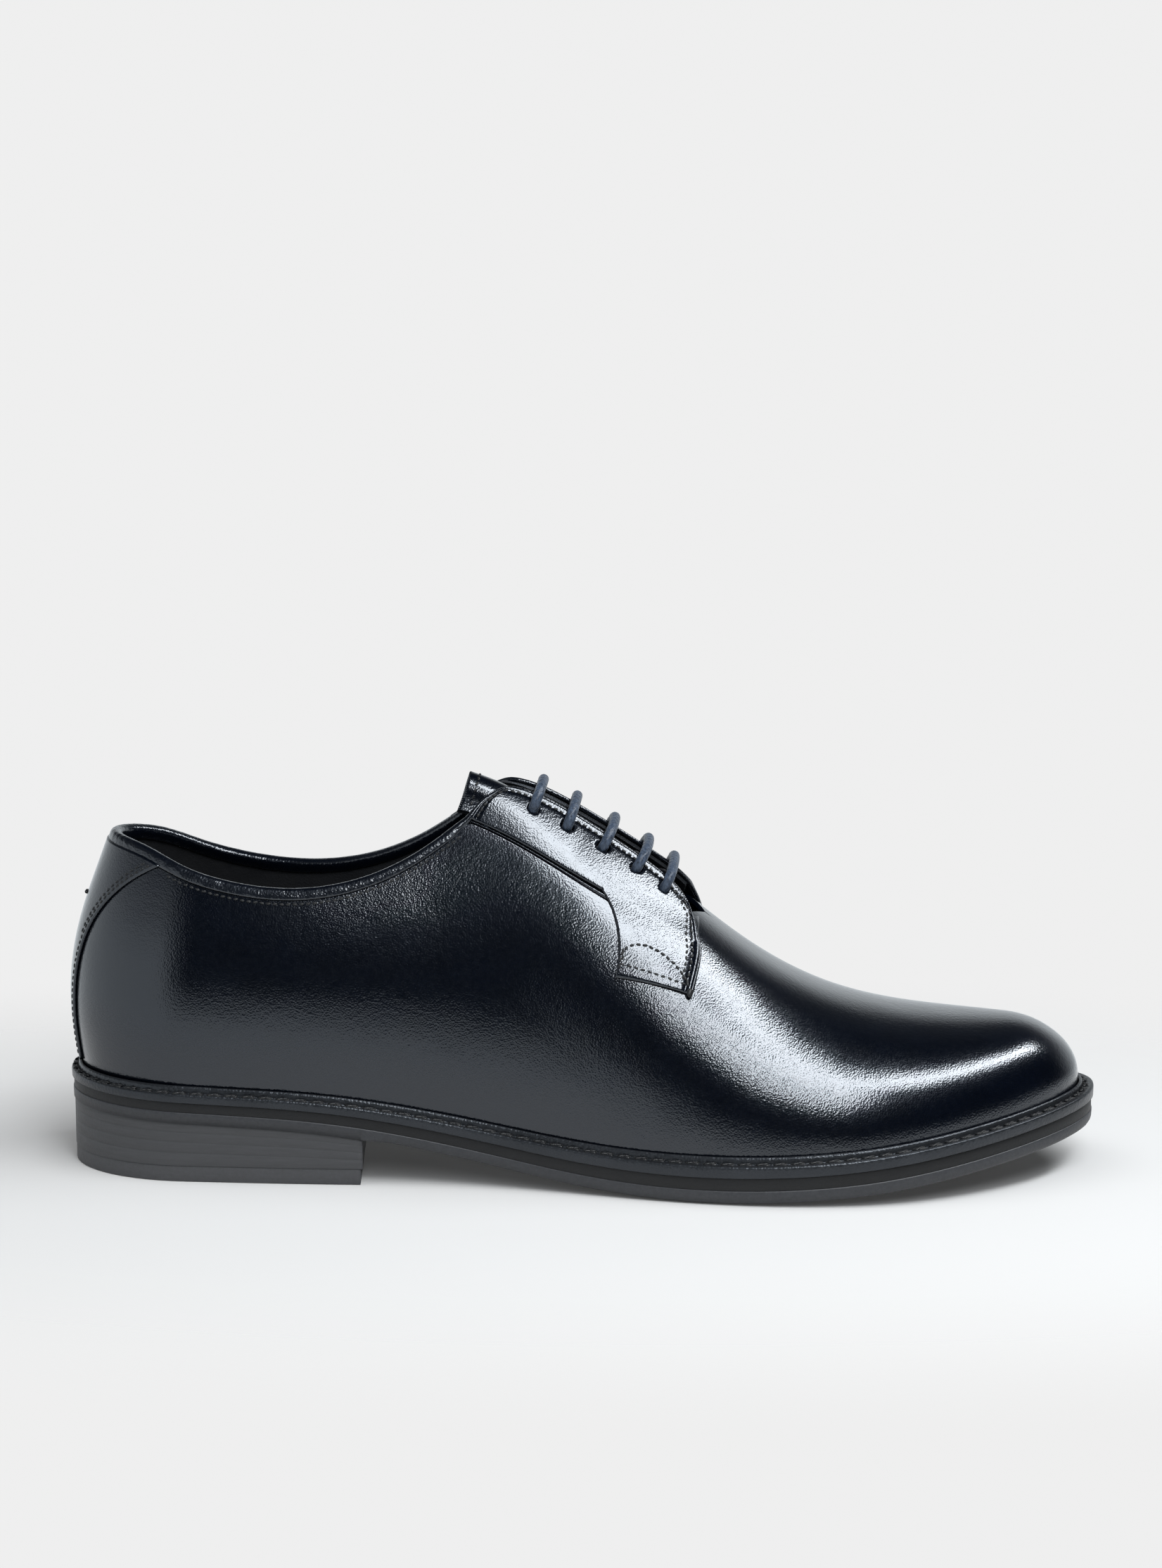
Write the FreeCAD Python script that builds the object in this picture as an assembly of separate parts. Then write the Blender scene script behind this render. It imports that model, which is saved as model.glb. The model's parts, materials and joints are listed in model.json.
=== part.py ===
"""Plain-toe derby shoe for the right foot, as separate pieces.

Frame, in millimetres: +X runs from the heel to the toe, +Z is up and the
ground is z = 0.  The lateral side of the shoe is -Y, the medial side +Y.
Every piece of the upper is a sheet laid on one formula, the last surface:
surface_point(s, phi) has s as the station along the length, from the back of
the heel, and phi as the angle round the section, from 0 at the medial feather
line over the crest (90 degrees) to 180 at the lateral feather line.
"""
import FreeCAD, Part
import math
import os

V = FreeCAD.Vector

# ---------------------------------------------------------------- dimensions
LENGTH = 303.0

# The lists below hold values at even steps, from heel to toe or from low to high.
# edge of the sole, as half-widths each side of its axis
LATERAL_HALF = [31, 33.0, 34.0, 34.6, 34.2, 35.5, 41.0, 47.5, 51.8, 52.5, 49.5, 44.0, 38.0]
MEDIAL_HALF = [31, 33.0, 33.6, 31.0, 27.5, 28.5, 36.0, 45.5, 51.5, 53.0, 50.5, 45.0, 38.0]
SOLE_AXIS = [-0.8, -0.8, -0.8, -0.8, -0.8, -0.8, -0.8, -0.8, -0.6, 0.0, 1.0, 2.2, 3.2]
HEEL_ROUND = 0.125                 # part of the length taken by the round heel
TOE_ROUND = 0.235                  # and by the round toe
EDGE_POWER = 2.17

# underside of the sole layers over the ground, and their total thickness
SOLE_BOTTOM = [18.9, 17.9, 16.9, 15.6, 11.8, 6.6, 1.9, -0.2, 0.05, 1.6, 4.8, 8.8, 13.2]
SOLE_THICK = [8.7, 8.7, 8.9, 9.2, 9.6, 10.2, 10.9, 11.4, 11.4, 11.3, 11.2, 11.1, 11.0]
OUTSOLE_SHARE = 0.36               # of that thickness, from the ground up
MIDSOLE_SHARE = 0.69
HEEL_LENGTH = 87.7                 # at the middle of the breast
BREAST_ANGLE = 3.8                 # degrees; the breast reaches further forward laterally
HEEL_INSET = 0.8
SEAT_END = 0.36                    # share of the length up to which lifts follow the sole
HEEL_Y = -0.8                      # middle of the heel
TIP_SETBACK = 0.6                  # of the top piece behind the heel's breast
TOP_PIECE = 4.6
NAIL_RADIUS = 1.1

# the last: crest height, squareness of the sections, heel and wall curves
CREST = [120, 120, 120, 120.5, 121, 117.5, 104, 84.5, 63, 50, 45.5, 44.3, 42]
SIDE_POWER = 2.3
TOP_POWER = [2.0, 2.0, 2.0, 2.0, 2.0, 2.05, 2.1, 2.1, 2.0, 2.1, 2.2, 2.3, 2.3]
BACK_CURVE = [0.0, -2.3, -2.8, -1.3, 2.2, 7.0, 11.5]
BACK_CURVE_HEIGHT = 75.0
BACK_LEAN = 0.15
BACK_REACH = 0.45
WALL_CURVE = [0.0, 0.06, 0.06, 0.0, -0.08, -0.18, -0.28]
WALL_CURVE_HEIGHT = 108.0
FEATHER_HEEL = 3.6                 # how far the last stands in from the sole edge
FEATHER_TOE = 4.9
LAST_HEEL_ROUND = 0.13
LAST_TOE_ROUND = 0.238
LAST_POWER = 2.2
TOE_TOP_ROUND = 0.075
TOE_TOP_POWER = 2.4
TOE_WALL = 0.6
SEAT_GAP = 0.1                     # between the welt and the upper

# lines on the upper
TOPLINE = [98.3, 96.4, 90.4, 86.9, 85.0, 85.3, 88.5, 95.0, 105.5]
TOPLINE_END = 119.0
THROAT = 188.0
SEAM_ANGLE = [120.6, 122.3, 123.7, 124.6, 124.1, 121.8, 90.0]
BINDING = 3.0

# sheet levels, measured outwards from the last surface
LEATHER = 1.4
COUNTER_OUT, COUNTER_IN = -1.5, -2.7
LINING_THICK = 0.9
FACING_THICK = 1.3
FACING_LINING = 0.9
LAYER_GAP = 0.1

LACE_RADIUS = 1.5
AGLET_RADIUS = 1.6
AGLET_LENGTH = 18.0
HOLES = 5
HOLE_RADIUS = 2.25
EYELET_RADIUS = 3.2
EYELET_THICK = 0.5
EYELET_GAP = 0.4                   # between the lining and its flat eyelets


# ------------------------------------------------------------- the formula
def curve(values, t):
    """Clamped uniform cubic B-spline through the control values, t from 0 to 1."""
    last = len(values) - 1
    t = min(max(t, 0.0), 1.0) * last
    i = min(int(t), last - 1)
    r = t - i

    def control(k):
        if k < 0:
            return 2 * values[0] - values[1]
        if k > last:
            return 2 * values[last] - values[last - 1]
        return values[k]

    a, b, c, d = (control(i + k) for k in (-1, 0, 1, 2))
    cubic = (1 - r) ** 3 * a + (3 * r ** 3 - 6 * r * r + 4) * b
    return (cubic + (-3 * r ** 3 + 3 * r * r + 3 * r + 1) * c + r ** 3 * d) / 6


def round_end(distance, reach, power):
    """1 away from an end, falling to 0 on it along a superellipse."""
    if distance >= reach:
        return 1.0
    return max(0.0, 1 - (1 - distance / reach) ** power) ** (1 / power)


def sole_edge(f, side):
    """Half-outline of the sole at the fraction f; side is -1 lateral, +1 medial."""
    ends = round_end(f, HEEL_ROUND, EDGE_POWER) * round_end(1 - f, TOE_ROUND, EDGE_POWER)
    half = MEDIAL_HALF if side > 0 else LATERAL_HALF
    return curve(SOLE_AXIS, f) + side * curve(half, f) * ends


def sole_height(f, share):
    """Height of the layer boundary at a share of the sole's thickness."""
    return curve(SOLE_BOTTOM, f) + share * curve(SOLE_THICK, f)


def feather_inset(f):
    """Distance from the sole's edge in to the upper's feather line."""
    return FEATHER_HEEL + (FEATHER_TOE - FEATHER_HEEL) * min(max((f - 0.2) / 0.4, 0.0), 1.0)


LAST_BACK = FEATHER_HEEL
LAST_TIP = LENGTH - FEATHER_TOE
TOE_END = LAST_TIP - 0.02          # sheets stop just short of the last's point


def surface_point(s, phi):
    """The last surface at station s and section angle phi (radians)."""
    f = s / LENGTH
    u = (s - LAST_BACK) / (LAST_TIP - LAST_BACK)
    ends = round_end(u, LAST_HEEL_ROUND, LAST_POWER) * round_end(1 - u, LAST_TOE_ROUND, LAST_POWER)
    side = 1 if phi < math.pi / 2 else -1
    half = (curve(MEDIAL_HALF if side > 0 else LATERAL_HALF, f) - feather_inset(f)) * ends
    base = sole_height(f, 1.0) + SEAT_GAP
    tall = (curve(CREST, f) - base) * round_end(1 - u, TOE_TOP_ROUND, TOE_TOP_POWER)
    height = tall * abs(math.sin(phi)) ** (2 / curve(TOP_POWER, f))
    across = abs(math.cos(phi)) ** (2 / SIDE_POWER)
    fade = min(max((0.62 - u) / 0.35, 0.0), 1.0)
    fade = fade * fade * (3 - 2 * fade)
    widen = 1 + fade * curve(WALL_CURVE, height / WALL_CURVE_HEIGHT)
    t = height / BACK_CURVE_HEIGHT
    lean = curve(BACK_CURVE, t) + max(t - 1, 0.0) * BACK_CURVE_HEIGHT * BACK_LEAN
    shift = lean * max(0.0, 1 - u / BACK_REACH) ** 2
    near_toe = max(0.0, 1 - (1 - u) / 0.12)
    wall = height / 18.0
    if wall < 1:
        shift += TOE_WALL * near_toe ** 2 * 4 * wall * (1 - wall)
    y = curve(SOLE_AXIS, f) + side * half * across * widen
    return V(s + shift - LENGTH / 2, y, base + height)


def surface_normal(s, phi):
    """Outward unit normal of the last surface."""
    room = min(s - LAST_BACK, LAST_TIP - s)
    at_end = room < 0.02
    if at_end:
        s = min(max(s, LAST_BACK + 0.02), LAST_TIP - 0.02)
        room = 0.02
    ds = min(0.5, 0.3 * room)
    low, high = max(phi - 0.015, 0.0), min(phi + 0.015, math.pi)
    along = surface_point(s + ds, phi) - surface_point(s - ds, phi)
    round_ = surface_point(s, high) - surface_point(s, low)
    n = round_.cross(along)
    if at_end:
        n.y = 0
    n.normalize()
    return n


def sheet_point(s, phi, level):
    """A point at a level over (+) or inside (-) the last surface."""
    if level == 0:
        return surface_point(s, phi)
    return surface_point(s, phi) + surface_normal(s, phi) * level


def angle_at_height(s, z):
    """Lateral section angle at which the last surface has height z."""
    f = s / LENGTH
    base = sole_height(f, 1.0) + SEAT_GAP
    share = min(max((z - base) / (curve(CREST, f) - base), 0.0), 1.0)
    return math.pi - math.asin(share ** (curve(TOP_POWER, f) / 2))


def top_angle(s, lower=0.0):
    """Lateral angle of the upper's top edge, lowered by a few millimetres."""
    if s <= TOPLINE_END:
        t = (s - LAST_BACK) / (TOPLINE_END - LAST_BACK)
        return angle_at_height(s, curve(TOPLINE, t) - lower)
    t = (s - TOPLINE_END) / (THROAT - TOPLINE_END)
    step = lower / 40.0 * max(0.0, 1 - 8 * t)
    return math.radians(curve(SEAM_ANGLE, t)) + step


# ------------------------------------------------------------ solid builders
def clamped(count, degree):
    """Knots and multiplicities of a clamped uniform B-spline."""
    spans = count - degree
    knots = [k / spans for k in range(spans + 1)]
    mults = [degree + 1] + [1] * (spans - 1) + [degree + 1]
    return knots, mults


def spline_face(rows):
    """A face from a net of control points; two rows or columns are ruled."""
    du = min(3, len(rows) - 1)
    dv = min(3, len(rows[0]) - 1)
    uk, um = clamped(len(rows), du)
    vk, vm = clamped(len(rows[0]), dv)
    surface = Part.BSplineSurface()
    surface.buildFromPolesMultsKnots(rows, um, vm, uk, vk, False, False, du, dv)
    return surface.toShape()


def closed_solid(faces):
    """One solid from faces that share their edges."""
    shell = Part.makeCompound(faces)
    shell.sewShape()
    solid = Part.makeSolid(shell.Shells[0])
    if solid.Volume < 0:
        solid.reverse()
    return solid


def net(patch, level, nu, nv):
    """Control points of a patch(u, v) -> (s, phi), at level(u, v)."""
    rows = []
    for i in range(nu + 1):
        u = i / nu
        row = []
        for j in range(nv + 1):
            v = j / nv
            s, phi = patch(u, v)
            row.append(sheet_point(s, phi, level(u, v)))
        rows.append(row)
    return rows


def rims(outer, inner, sides):
    """Ruled faces between two nets along the named sides."""
    pick = {
        "u0": lambda rows: rows[0],
        "u1": lambda rows: rows[-1],
        "v0": lambda rows: [row[0] for row in rows],
        "v1": lambda rows: [row[-1] for row in rows],
    }
    return [spline_face([pick[side](outer), pick[side](inner)]) for side in sides]


def constant(value):
    return lambda u, v: value


def constant_of(value):
    return lambda f: value


def sheet(patch, outer, inner, nu, nv):
    """A closed sheet between two levels over a patch of the last."""
    out_net = net(patch, outer, nu, nv)
    in_net = net(patch, inner, nu, nv)
    faces = [spline_face(out_net), spline_face(in_net)]
    faces += rims(out_net, in_net, ("u0", "u1", "v0", "v1"))
    return closed_solid(faces)


def outline_point(side, t, inset):
    """Point (x, y) on the sole's outline, moved inwards; t runs from heel to toe."""
    def edge(turn):
        f = (1 - math.cos(turn)) / 2
        which = side if math.sin(turn) >= 0 else -side
        return f * LENGTH - LENGTH / 2, sole_edge(f, which)

    turn = math.pi * t
    x0, y0 = edge(turn - 0.01)
    x1, y1 = edge(turn + 0.01)
    reach = math.hypot(x1 - x0, y1 - y0)
    x, y = edge(turn)
    return x - side * inset * (y0 - y1) / reach, y - side * inset * (x1 - x0) / reach


def outline_row(side, inset, height):
    """Control points along one side of the outline, from heel to toe."""
    count = 48
    row = []
    for k in range(count + 1):
        f = (1 - math.cos(math.pi * k / count)) / 2
        x, y = outline_point(side, k / count, inset(f))
        row.append(V(x, y, height(min(max((x + LENGTH / 2) / LENGTH, 0.0), 1.0))))
    return row


def plate(inset, low, high):
    """A plate with the sole's outline between two height functions."""
    rows = {(side, which): outline_row(side, constant_of(inset), height)
            for side in (-1, 1) for which, height in (("low", low), ("high", high))}
    faces = [spline_face([rows[side, "low"], rows[side, "high"]]) for side in (-1, 1)]
    faces += [spline_face([rows[-1, which], rows[1, which]]) for which in ("low", "high")]
    return closed_solid(faces)


def ring(section):
    """A closed band round the outline; section lists its corners as (inset, height)."""
    faces = []
    for side in (-1, 1):
        rows = [outline_row(side, inset, height) for inset, height in section]
        faces += [spline_face([rows[i - 1], rows[i]]) for i in range(len(rows))]
    return closed_solid(faces)


def one_solid(shape):
    return shape.Solids[0] if len(shape.Solids) == 1 else shape


# ------------------------------------------------------------------ the upper
def quarter_patch(end, lower=0.0):
    """Round the heel from the lateral side to the medial, feather to topline."""
    def patch(u, v):
        q = 2 * u - 1
        s = LAST_BACK + (end - LAST_BACK) * q * q
        top = top_angle(s, lower)
        phi = math.pi + (top - math.pi) * v
        if q > 0:
            phi = math.pi - phi
        return s, phi
    return patch


def vamp_patch(side, start, end):
    """One side of the vamp from the throat to the toe, feather to crest."""
    def patch(u, v):
        s = end - (end - start) * (1 - u) ** 2
        phi = math.pi - math.pi / 2 * v
        if side > 0:
            phi = math.pi - phi
        return s, phi
    return patch


def one_piece_upper(outer, inner, end, lower):
    """Quarters and vamp as one closed sheet with a V-shaped throat."""
    around, along, tall = 60, 18, 16
    quarter = quarter_patch(THROAT, lower)
    outer_nets = [net(quarter, outer, around, tall)]
    inner_nets = [net(quarter, inner, around, tall)]
    faces = rims(outer_nets[0], inner_nets[0], ("v0", "v1"))
    for side in (-1, 1):
        patch = vamp_patch(side, THROAT, end)
        out_net = net(patch, outer, along, tall)
        in_net = net(patch, inner, along, tall)
        faces += rims(out_net, in_net, ("v0", "u1"))
        outer_nets.append(out_net)
        inner_nets.append(in_net)
    faces += [spline_face(rows) for rows in outer_nets + inner_nets]
    return closed_solid(faces)


def vamp_quarters():
    return one_piece_upper(constant(0), constant(-LEATHER), TOE_END, BINDING)


BACKSTAY_REACH = [5.0, 5.4, 5.8, 6.6, 9.0, 15.0, 25.0]   # station of its edge, upwards
BACKSTAY_FOOT = math.pi - 0.03
BACKSTAY_THICK = 1.0


def backstay():
    """The strip over the back seam, wide under the topline, narrow below."""
    def patch(u, v):
        q = 2 * u - 1
        s = LAST_BACK + (curve(BACKSTAY_REACH, v) - LAST_BACK) * q * q
        phi = BACKSTAY_FOOT + (top_angle(s, BINDING) - BACKSTAY_FOOT) * v
        return s, (math.pi - phi if q > 0 else phi)
    return sheet(patch, constant(LAYER_GAP + BACKSTAY_THICK), constant(LAYER_GAP), 16, 24)


BINDING_OUT, BINDING_IN = 0.5, -3.0
BINDING_OVER = 0.6                 # its height over the topline


def topline_binding():
    """The rolled edge along the topline, from one facing to the other."""
    def patch(u, v):
        q = 2 * u - 1
        s = LAST_BACK + (TOPLINE_END - LAST_BACK) * q * q
        low, high = top_angle(s, BINDING - LAYER_GAP), top_angle(s, -BINDING_OVER)
        phi = low + (high - low) * v
        return s, (math.pi - phi if q > 0 else phi)
    return sheet(patch, constant(BINDING_OUT), constant(BINDING_IN), 56, 3)


def mirrored(patch, side):
    """The lateral patch, or the same patch on the medial side."""
    def both(u, v):
        s, phi = patch(u, v)
        return s, (phi if side < 0 else math.pi - phi)
    return both


FACING_REAR = [(119.6, 119.6), (133.0, 121.4), (146.0, 122.6), (158.0, 122.4), (173.0, 120.1),
               (186.6, 117.5)]
FACING_FRONT = [(127.6, 104.5), (133.0, 100.6), (150.0, 100.2), (166.5, 100.2), (177.6, 101.2),
                (182.8, 108.5)]
TAB_REAR = [(158.6, 123.3), (161.2, 125.6), (163.2, 130.0), (164.2, 136.6), (163.2, 143.8)]
TAB_FRONT = [(186.9, 118.4), (187.0, 122.0), (186.4, 127.0), (185.6, 132.0), (184.7, 136.8)]


def line_point(points, t):
    s = curve([p[0] for p in points], t)
    return s, math.radians(curve([p[1] for p in points], t))


def between(first, second):
    """Patch ruled between two lines on the last; u runs along them."""
    def patch(u, v):
        a, b = line_point(first, u), line_point(second, u)
        return a[0] + (b[0] - a[0]) * v, a[1] + (b[1] - a[1]) * v
    return patch


facing_patch = between(FACING_REAR, FACING_FRONT)
tab_patch = between(TAB_REAR, TAB_FRONT)


def facing_lift(u, v):
    """Outer level of a facing: flush at its seam, lifted by the lace in front."""
    rear = 0.4 + 1.2 * max(0.0, u - 0.45) / 0.55
    return rear + curve([1.6, 2.2, 2.4, 3.1, 3.7, 2.8], u) * v ** 1.3


def tab_lift(u, v):
    """Outer level of the tab: meets the facing above, lies on the vamp below."""
    top = 1.05 + 0.55 * v
    return top + (1.55 - top) * min(1.0, u / 0.5)


def lowered(level, depth):
    return lambda u, v: level(u, v) - depth


def hole_place(k):
    """Patch place (u, v) of eyelet k, from the top."""
    return 0.256 + 0.132 * k, 0.66 + 0.017 * k


def bar_place(k):
    """Patch place where lace bar k crosses the facing's front edge."""
    return 0.246 + 0.128 * k, 1.0


def facing_frame(side, u, v):
    """Outer point of a facing and the outward normal there."""
    patch = mirrored(facing_patch, side)
    step = 0.01

    def at(u, v):
        s, phi = patch(u, v)
        return sheet_point(s, phi, facing_lift(u, v))

    along = at(u + step, v) - at(u - step, v)
    across = at(u, min(v + step, 1.0)) - at(u, v - step)
    normal = along.cross(across)
    normal.normalize()
    if normal.dot(surface_normal(*patch(u, v))) < 0:
        normal = normal * -1
    return at(u, v), normal


def hole_drills(side):
    drills = []
    reach = 6.0
    for k in range(HOLES):
        centre, axis = facing_frame(side, *hole_place(k))
        drills.append(Part.makeCylinder(HOLE_RADIUS, 2 * reach, centre - axis * reach, axis))
    return Part.makeCompound(drills)


def facing(side):
    patch = mirrored(facing_patch, side)
    solid = sheet(patch, facing_lift, lowered(facing_lift, FACING_THICK), 24, 10)
    return one_solid(solid.cut(hole_drills(side)))


def facing_lining(side):
    """Lining of a facing, set back from its seam and from the vamp's throat."""
    def inside(u, v):
        u = 0.015 + 0.905 * u
        start = 0.07 + 0.43 * max(0.0, (u - 0.6) / 0.27) ** 2
        return u, start + (0.97 - start) * v

    def patch(u, v):
        return mirrored(facing_patch, side)(*inside(u, v))

    def outer(u, v):
        return facing_lift(*inside(u, v)) - FACING_THICK - LAYER_GAP
    solid = sheet(patch, outer, lowered(outer, FACING_LINING), 24, 10)
    return one_solid(solid.cut(hole_drills(side)))


FACING_DEPTH = FACING_THICK + LAYER_GAP + FACING_LINING


def eyelet_rings(side):
    """Blind eyelets: flat rings on the inner face of the facing's lining."""
    rings = []
    for k in range(HOLES):
        centre, axis = facing_frame(side, *hole_place(k))
        start = centre - axis * (FACING_DEPTH + EYELET_GAP + EYELET_THICK)
        ring = Part.makeCylinder(EYELET_RADIUS, EYELET_THICK, start, axis)
        rings.append(ring.cut(Part.makeCylinder(HOLE_RADIUS, EYELET_THICK, start, axis)))
    return Part.makeCompound(rings)


def facing_tab(side):
    return sheet(mirrored(tab_patch, side), tab_lift, lowered(tab_lift, FACING_THICK), 10, 10)


TONGUE_HALF = [20.0, 21.0, 22.5, 23.5, 24.5, 25.0, 25.0]
TONGUE_TOP = 119.0
TONGUE_SIDE = -5.9
TONGUE_END = 185.0
TONGUE_THICK = 1.2
TONGUE_LINING = 0.9
ROOT_START = THROAT + 1.0          # the margin stitched under the vamp
ROOT_LENGTH = 6.0
ROOT_HALF = 21.0
ROOT_LEVEL = -LEATHER - 1.15


def tongue_patch(u, v):
    """From the throat (u = 0) to the free top edge, medial side to lateral."""
    s = TONGUE_END + (TONGUE_TOP - TONGUE_END) * u
    w = 2 * v - 1
    s -= 3.4 * u ** 3 * w * w
    return s, math.radians(90 + curve(TONGUE_HALF, u) * w)


def tongue_level(u, v):
    w = abs(2 * v - 1)
    return TONGUE_SIDE + (3.7 * u + 0.6) * (1 - min(1.0, w / 0.75) ** 2)


def tongue():
    return sheet(tongue_patch, tongue_level, lowered(tongue_level, TONGUE_THICK), 20, 14)


def tongue_lining():
    outer = lowered(tongue_level, TONGUE_THICK + LAYER_GAP)
    return sheet(tongue_patch, outer, lowered(outer, TONGUE_LINING), 20, 14)


def tongue_root():
    """The tongue's stitched margin, under the vamp's throat edge."""
    def patch(u, v):
        return ROOT_START + ROOT_LENGTH * u, math.radians(90 + ROOT_HALF * (2 * v - 1))
    return sheet(patch, constant(ROOT_LEVEL), constant(ROOT_LEVEL - TONGUE_THICK), 5, 14)


LINING_FRONT = THROAT - 28.0       # where the quarter lining ends


def quarter_lining():
    """Lining of the quarters: against the leather on top, inside the counter below."""
    patch = quarter_patch(LINING_FRONT, BINDING + 2 * LAYER_GAP)

    def outer(u, v):
        return COUNTER_OUT + (COUNTER_IN - LAYER_GAP - COUNTER_OUT) * (1 - v ** 6)
    return sheet(patch, outer, lowered(outer, LINING_THICK), 60, 14)


VAMP_LINING_THICK = 0.8
VAMP_LINING_BACK = THROAT - 25.0   # its rear edge at the feather line
VAMP_LINING_DIP = 37.0             # how far forward that edge runs at the crest


def vamp_lining():
    """Canvas lining of the forepart, reaching further back down the sides."""
    def patch(u, v):
        start = VAMP_LINING_BACK + VAMP_LINING_DIP * math.sin(math.pi * v) ** 2
        s = TOE_END - (TOE_END - start) * (1 - u) ** 2
        return s, math.pi * (1 - v)
    level = COUNTER_IN - LAYER_GAP
    return sheet(patch, constant(level), constant(level - VAMP_LINING_THICK), 20, 30)


COUNTER_LENGTH = 62.0
COUNTER_HEIGHT = 72.0              # over the ground, at the back seam
COUNTER_DROP = 26.0                # how much lower it is at its front ends
PUFF_LENGTH = 44.0


def heel_counter():
    """Stiffener round the heel, between the upper and the lining."""
    def patch(u, v):
        q = 2 * u - 1
        s = LAST_BACK + COUNTER_LENGTH * q * q
        top = angle_at_height(s, COUNTER_HEIGHT - COUNTER_DROP * q * q)
        phi = math.pi + (top - math.pi) * v
        return s, (math.pi - phi if q > 0 else phi)
    return sheet(patch, constant(COUNTER_OUT), constant(COUNTER_IN), 30, 8)


def toe_puff():
    """Stiffener under the toe, between the upper and the lining."""
    def patch(u, v):
        return TOE_END - PUFF_LENGTH * (1 - u) ** 2, math.pi * (1 - v)
    return sheet(patch, constant(COUNTER_OUT), constant(COUNTER_IN), 12, 24)


# ------------------------------------------------------- the sole and the heel
def share(value, extra=0.0):
    return lambda f: sole_height(f, value) + extra


OUTSOLE_INSET = 0.4                # from the welt's edge
MIDSOLE_INSET = 0.8
BOND = 0.05                        # glue line between two layers
WELT_WIDTH = 9.0
BEAD_HIGH = 1.9
GROOVE_DEEP = 0.6
INSOLE_INSET, INSOLE_TOP = 9.2, 2.6
SOCK_INSET, SOCK_TOP = 9.4, 3.6
SHANK_START, SHANK_LENGTH, SHANK_WIDTH = 62.0, 105.0, 14.0
SHANK_LOW, SHANK_HIGH = 0.4, 1.6   # over the midsole


def from_feather(distance):
    """An inset measured outwards from the upper's feather line."""
    return lambda f: feather_inset(f) - distance


def outsole():
    return plate(OUTSOLE_INSET, share(0.0), share(OUTSOLE_SHARE))


def midsole():
    return plate(MIDSOLE_INSET, share(OUTSOLE_SHARE, BOND), share(MIDSOLE_SHARE, -BOND))


def welt():
    """The strip round the upper: flat rim, stitch groove and raised bead."""
    top = share(1.0)
    groove = share(1.0, -GROOVE_DEEP)
    bead = share(1.0, BEAD_HIGH)
    base = share(MIDSOLE_SHARE)
    return ring([
        (constant_of(0.0), base), (constant_of(0.0), share(1.0, -0.5)), (constant_of(0.5), top),
        (from_feather(2.7), top), (from_feather(2.5), groove), (from_feather(1.7), groove),
        (from_feather(1.6), share(1.0, 0.9)), (from_feather(1.3), bead), (from_feather(0.8), bead),
        (from_feather(0.3), share(1.0, 0.9)), (from_feather(0.3), top),
        (constant_of(WELT_WIDTH), top), (constant_of(WELT_WIDTH), base)])


def welt_stitching():
    """The thread lying in the welt's groove."""
    low, high = share(1.0, 0.05 - GROOVE_DEEP), share(1.0, -0.05)
    inner, outer = from_feather(1.8), from_feather(2.4)
    return ring([(outer, low), (outer, high), (inner, high), (inner, low)])


def shank():
    """Spring-steel strip under the waist, set in the cork."""
    strip = plate(0.0, share(MIDSOLE_SHARE, SHANK_LOW), share(MIDSOLE_SHARE, SHANK_HIGH))
    corner = V(SHANK_START - LENGTH / 2, HEEL_Y - SHANK_WIDTH / 2, -20)
    return one_solid(strip.common(Part.makeBox(SHANK_LENGTH, SHANK_WIDTH, 100, corner)))


def cork_filler():
    filler = plate(WELT_WIDTH + LAYER_GAP, share(MIDSOLE_SHARE, 3 * BOND), share(1.0))
    return one_solid(filler.cut(shank()))


def insole():
    return plate(INSOLE_INSET, share(1.0, BOND), share(1.0, INSOLE_TOP))


def sock_lining():
    return plate(SOCK_INSET, share(1.0, INSOLE_TOP + BOND), share(1.0, SOCK_TOP))


LIFT_SHARES = [1.0, 0.78, 0.55, 0.30, 0.0]   # their boundaries, top piece = 0, sole = 1
NAILS = 7
NAIL_LENGTH = 11.0
NAIL_LOW = 0.3                     # the heads' height over the ground
NAIL_CENTRE, NAIL_REACH, NAIL_SPREAD = 34.0, 20.0, 22.0
NAIL_STEP = math.radians(25)
NAIL_AHEAD = 14.0                  # how far the two end nails stand further forward


def nail_places():
    """Centres of the heel nails, on a horseshoe inside the heel's edge."""
    places = []
    middle = (NAILS - 1) / 2
    for k in range(NAILS):
        turn = NAIL_STEP * (k - middle)
        x = NAIL_CENTRE - NAIL_REACH * math.cos(turn) - LENGTH / 2
        if abs(k - middle) == middle:
            x += NAIL_AHEAD
        places.append((x, NAIL_SPREAD * math.sin(turn) + HEEL_Y))
    return places


def nails():
    return [Part.makeCylinder(NAIL_RADIUS, NAIL_LENGTH, V(x, y, NAIL_LOW)) for x, y in nail_places()]


def heel_layer(low, high, front):
    """One layer of the heel, cut off at the breast and drilled for the nails."""
    behind, wide = 30, 200
    block = Part.makeBox(front + behind, wide, 80, V(-front - behind, -wide / 2, 0))
    block.rotate(V(0, 0, 0), V(0, 0, 1), BREAST_ANGLE)
    block.translate(V(front - LENGTH / 2, HEEL_Y, 0))
    whole = plate(HEEL_INSET, low, high).common(block)
    return one_solid(whole.cut(Part.makeCompound(nails())))


def heel_height(value):
    """Height of a boundary inside the heel: a share of the way up from the top piece."""
    def height(f):
        under_sole = curve(SOLE_BOTTOM, min(f, SEAT_END)) - 2 * BOND
        return TOP_PIECE + (under_sole - TOP_PIECE) * value
    return height


def heel_lift(k):
    """Lift k, counted from the sole down."""
    return heel_layer(heel_height(LIFT_SHARES[k + 1]), heel_height(LIFT_SHARES[k]), HEEL_LENGTH)


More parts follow.
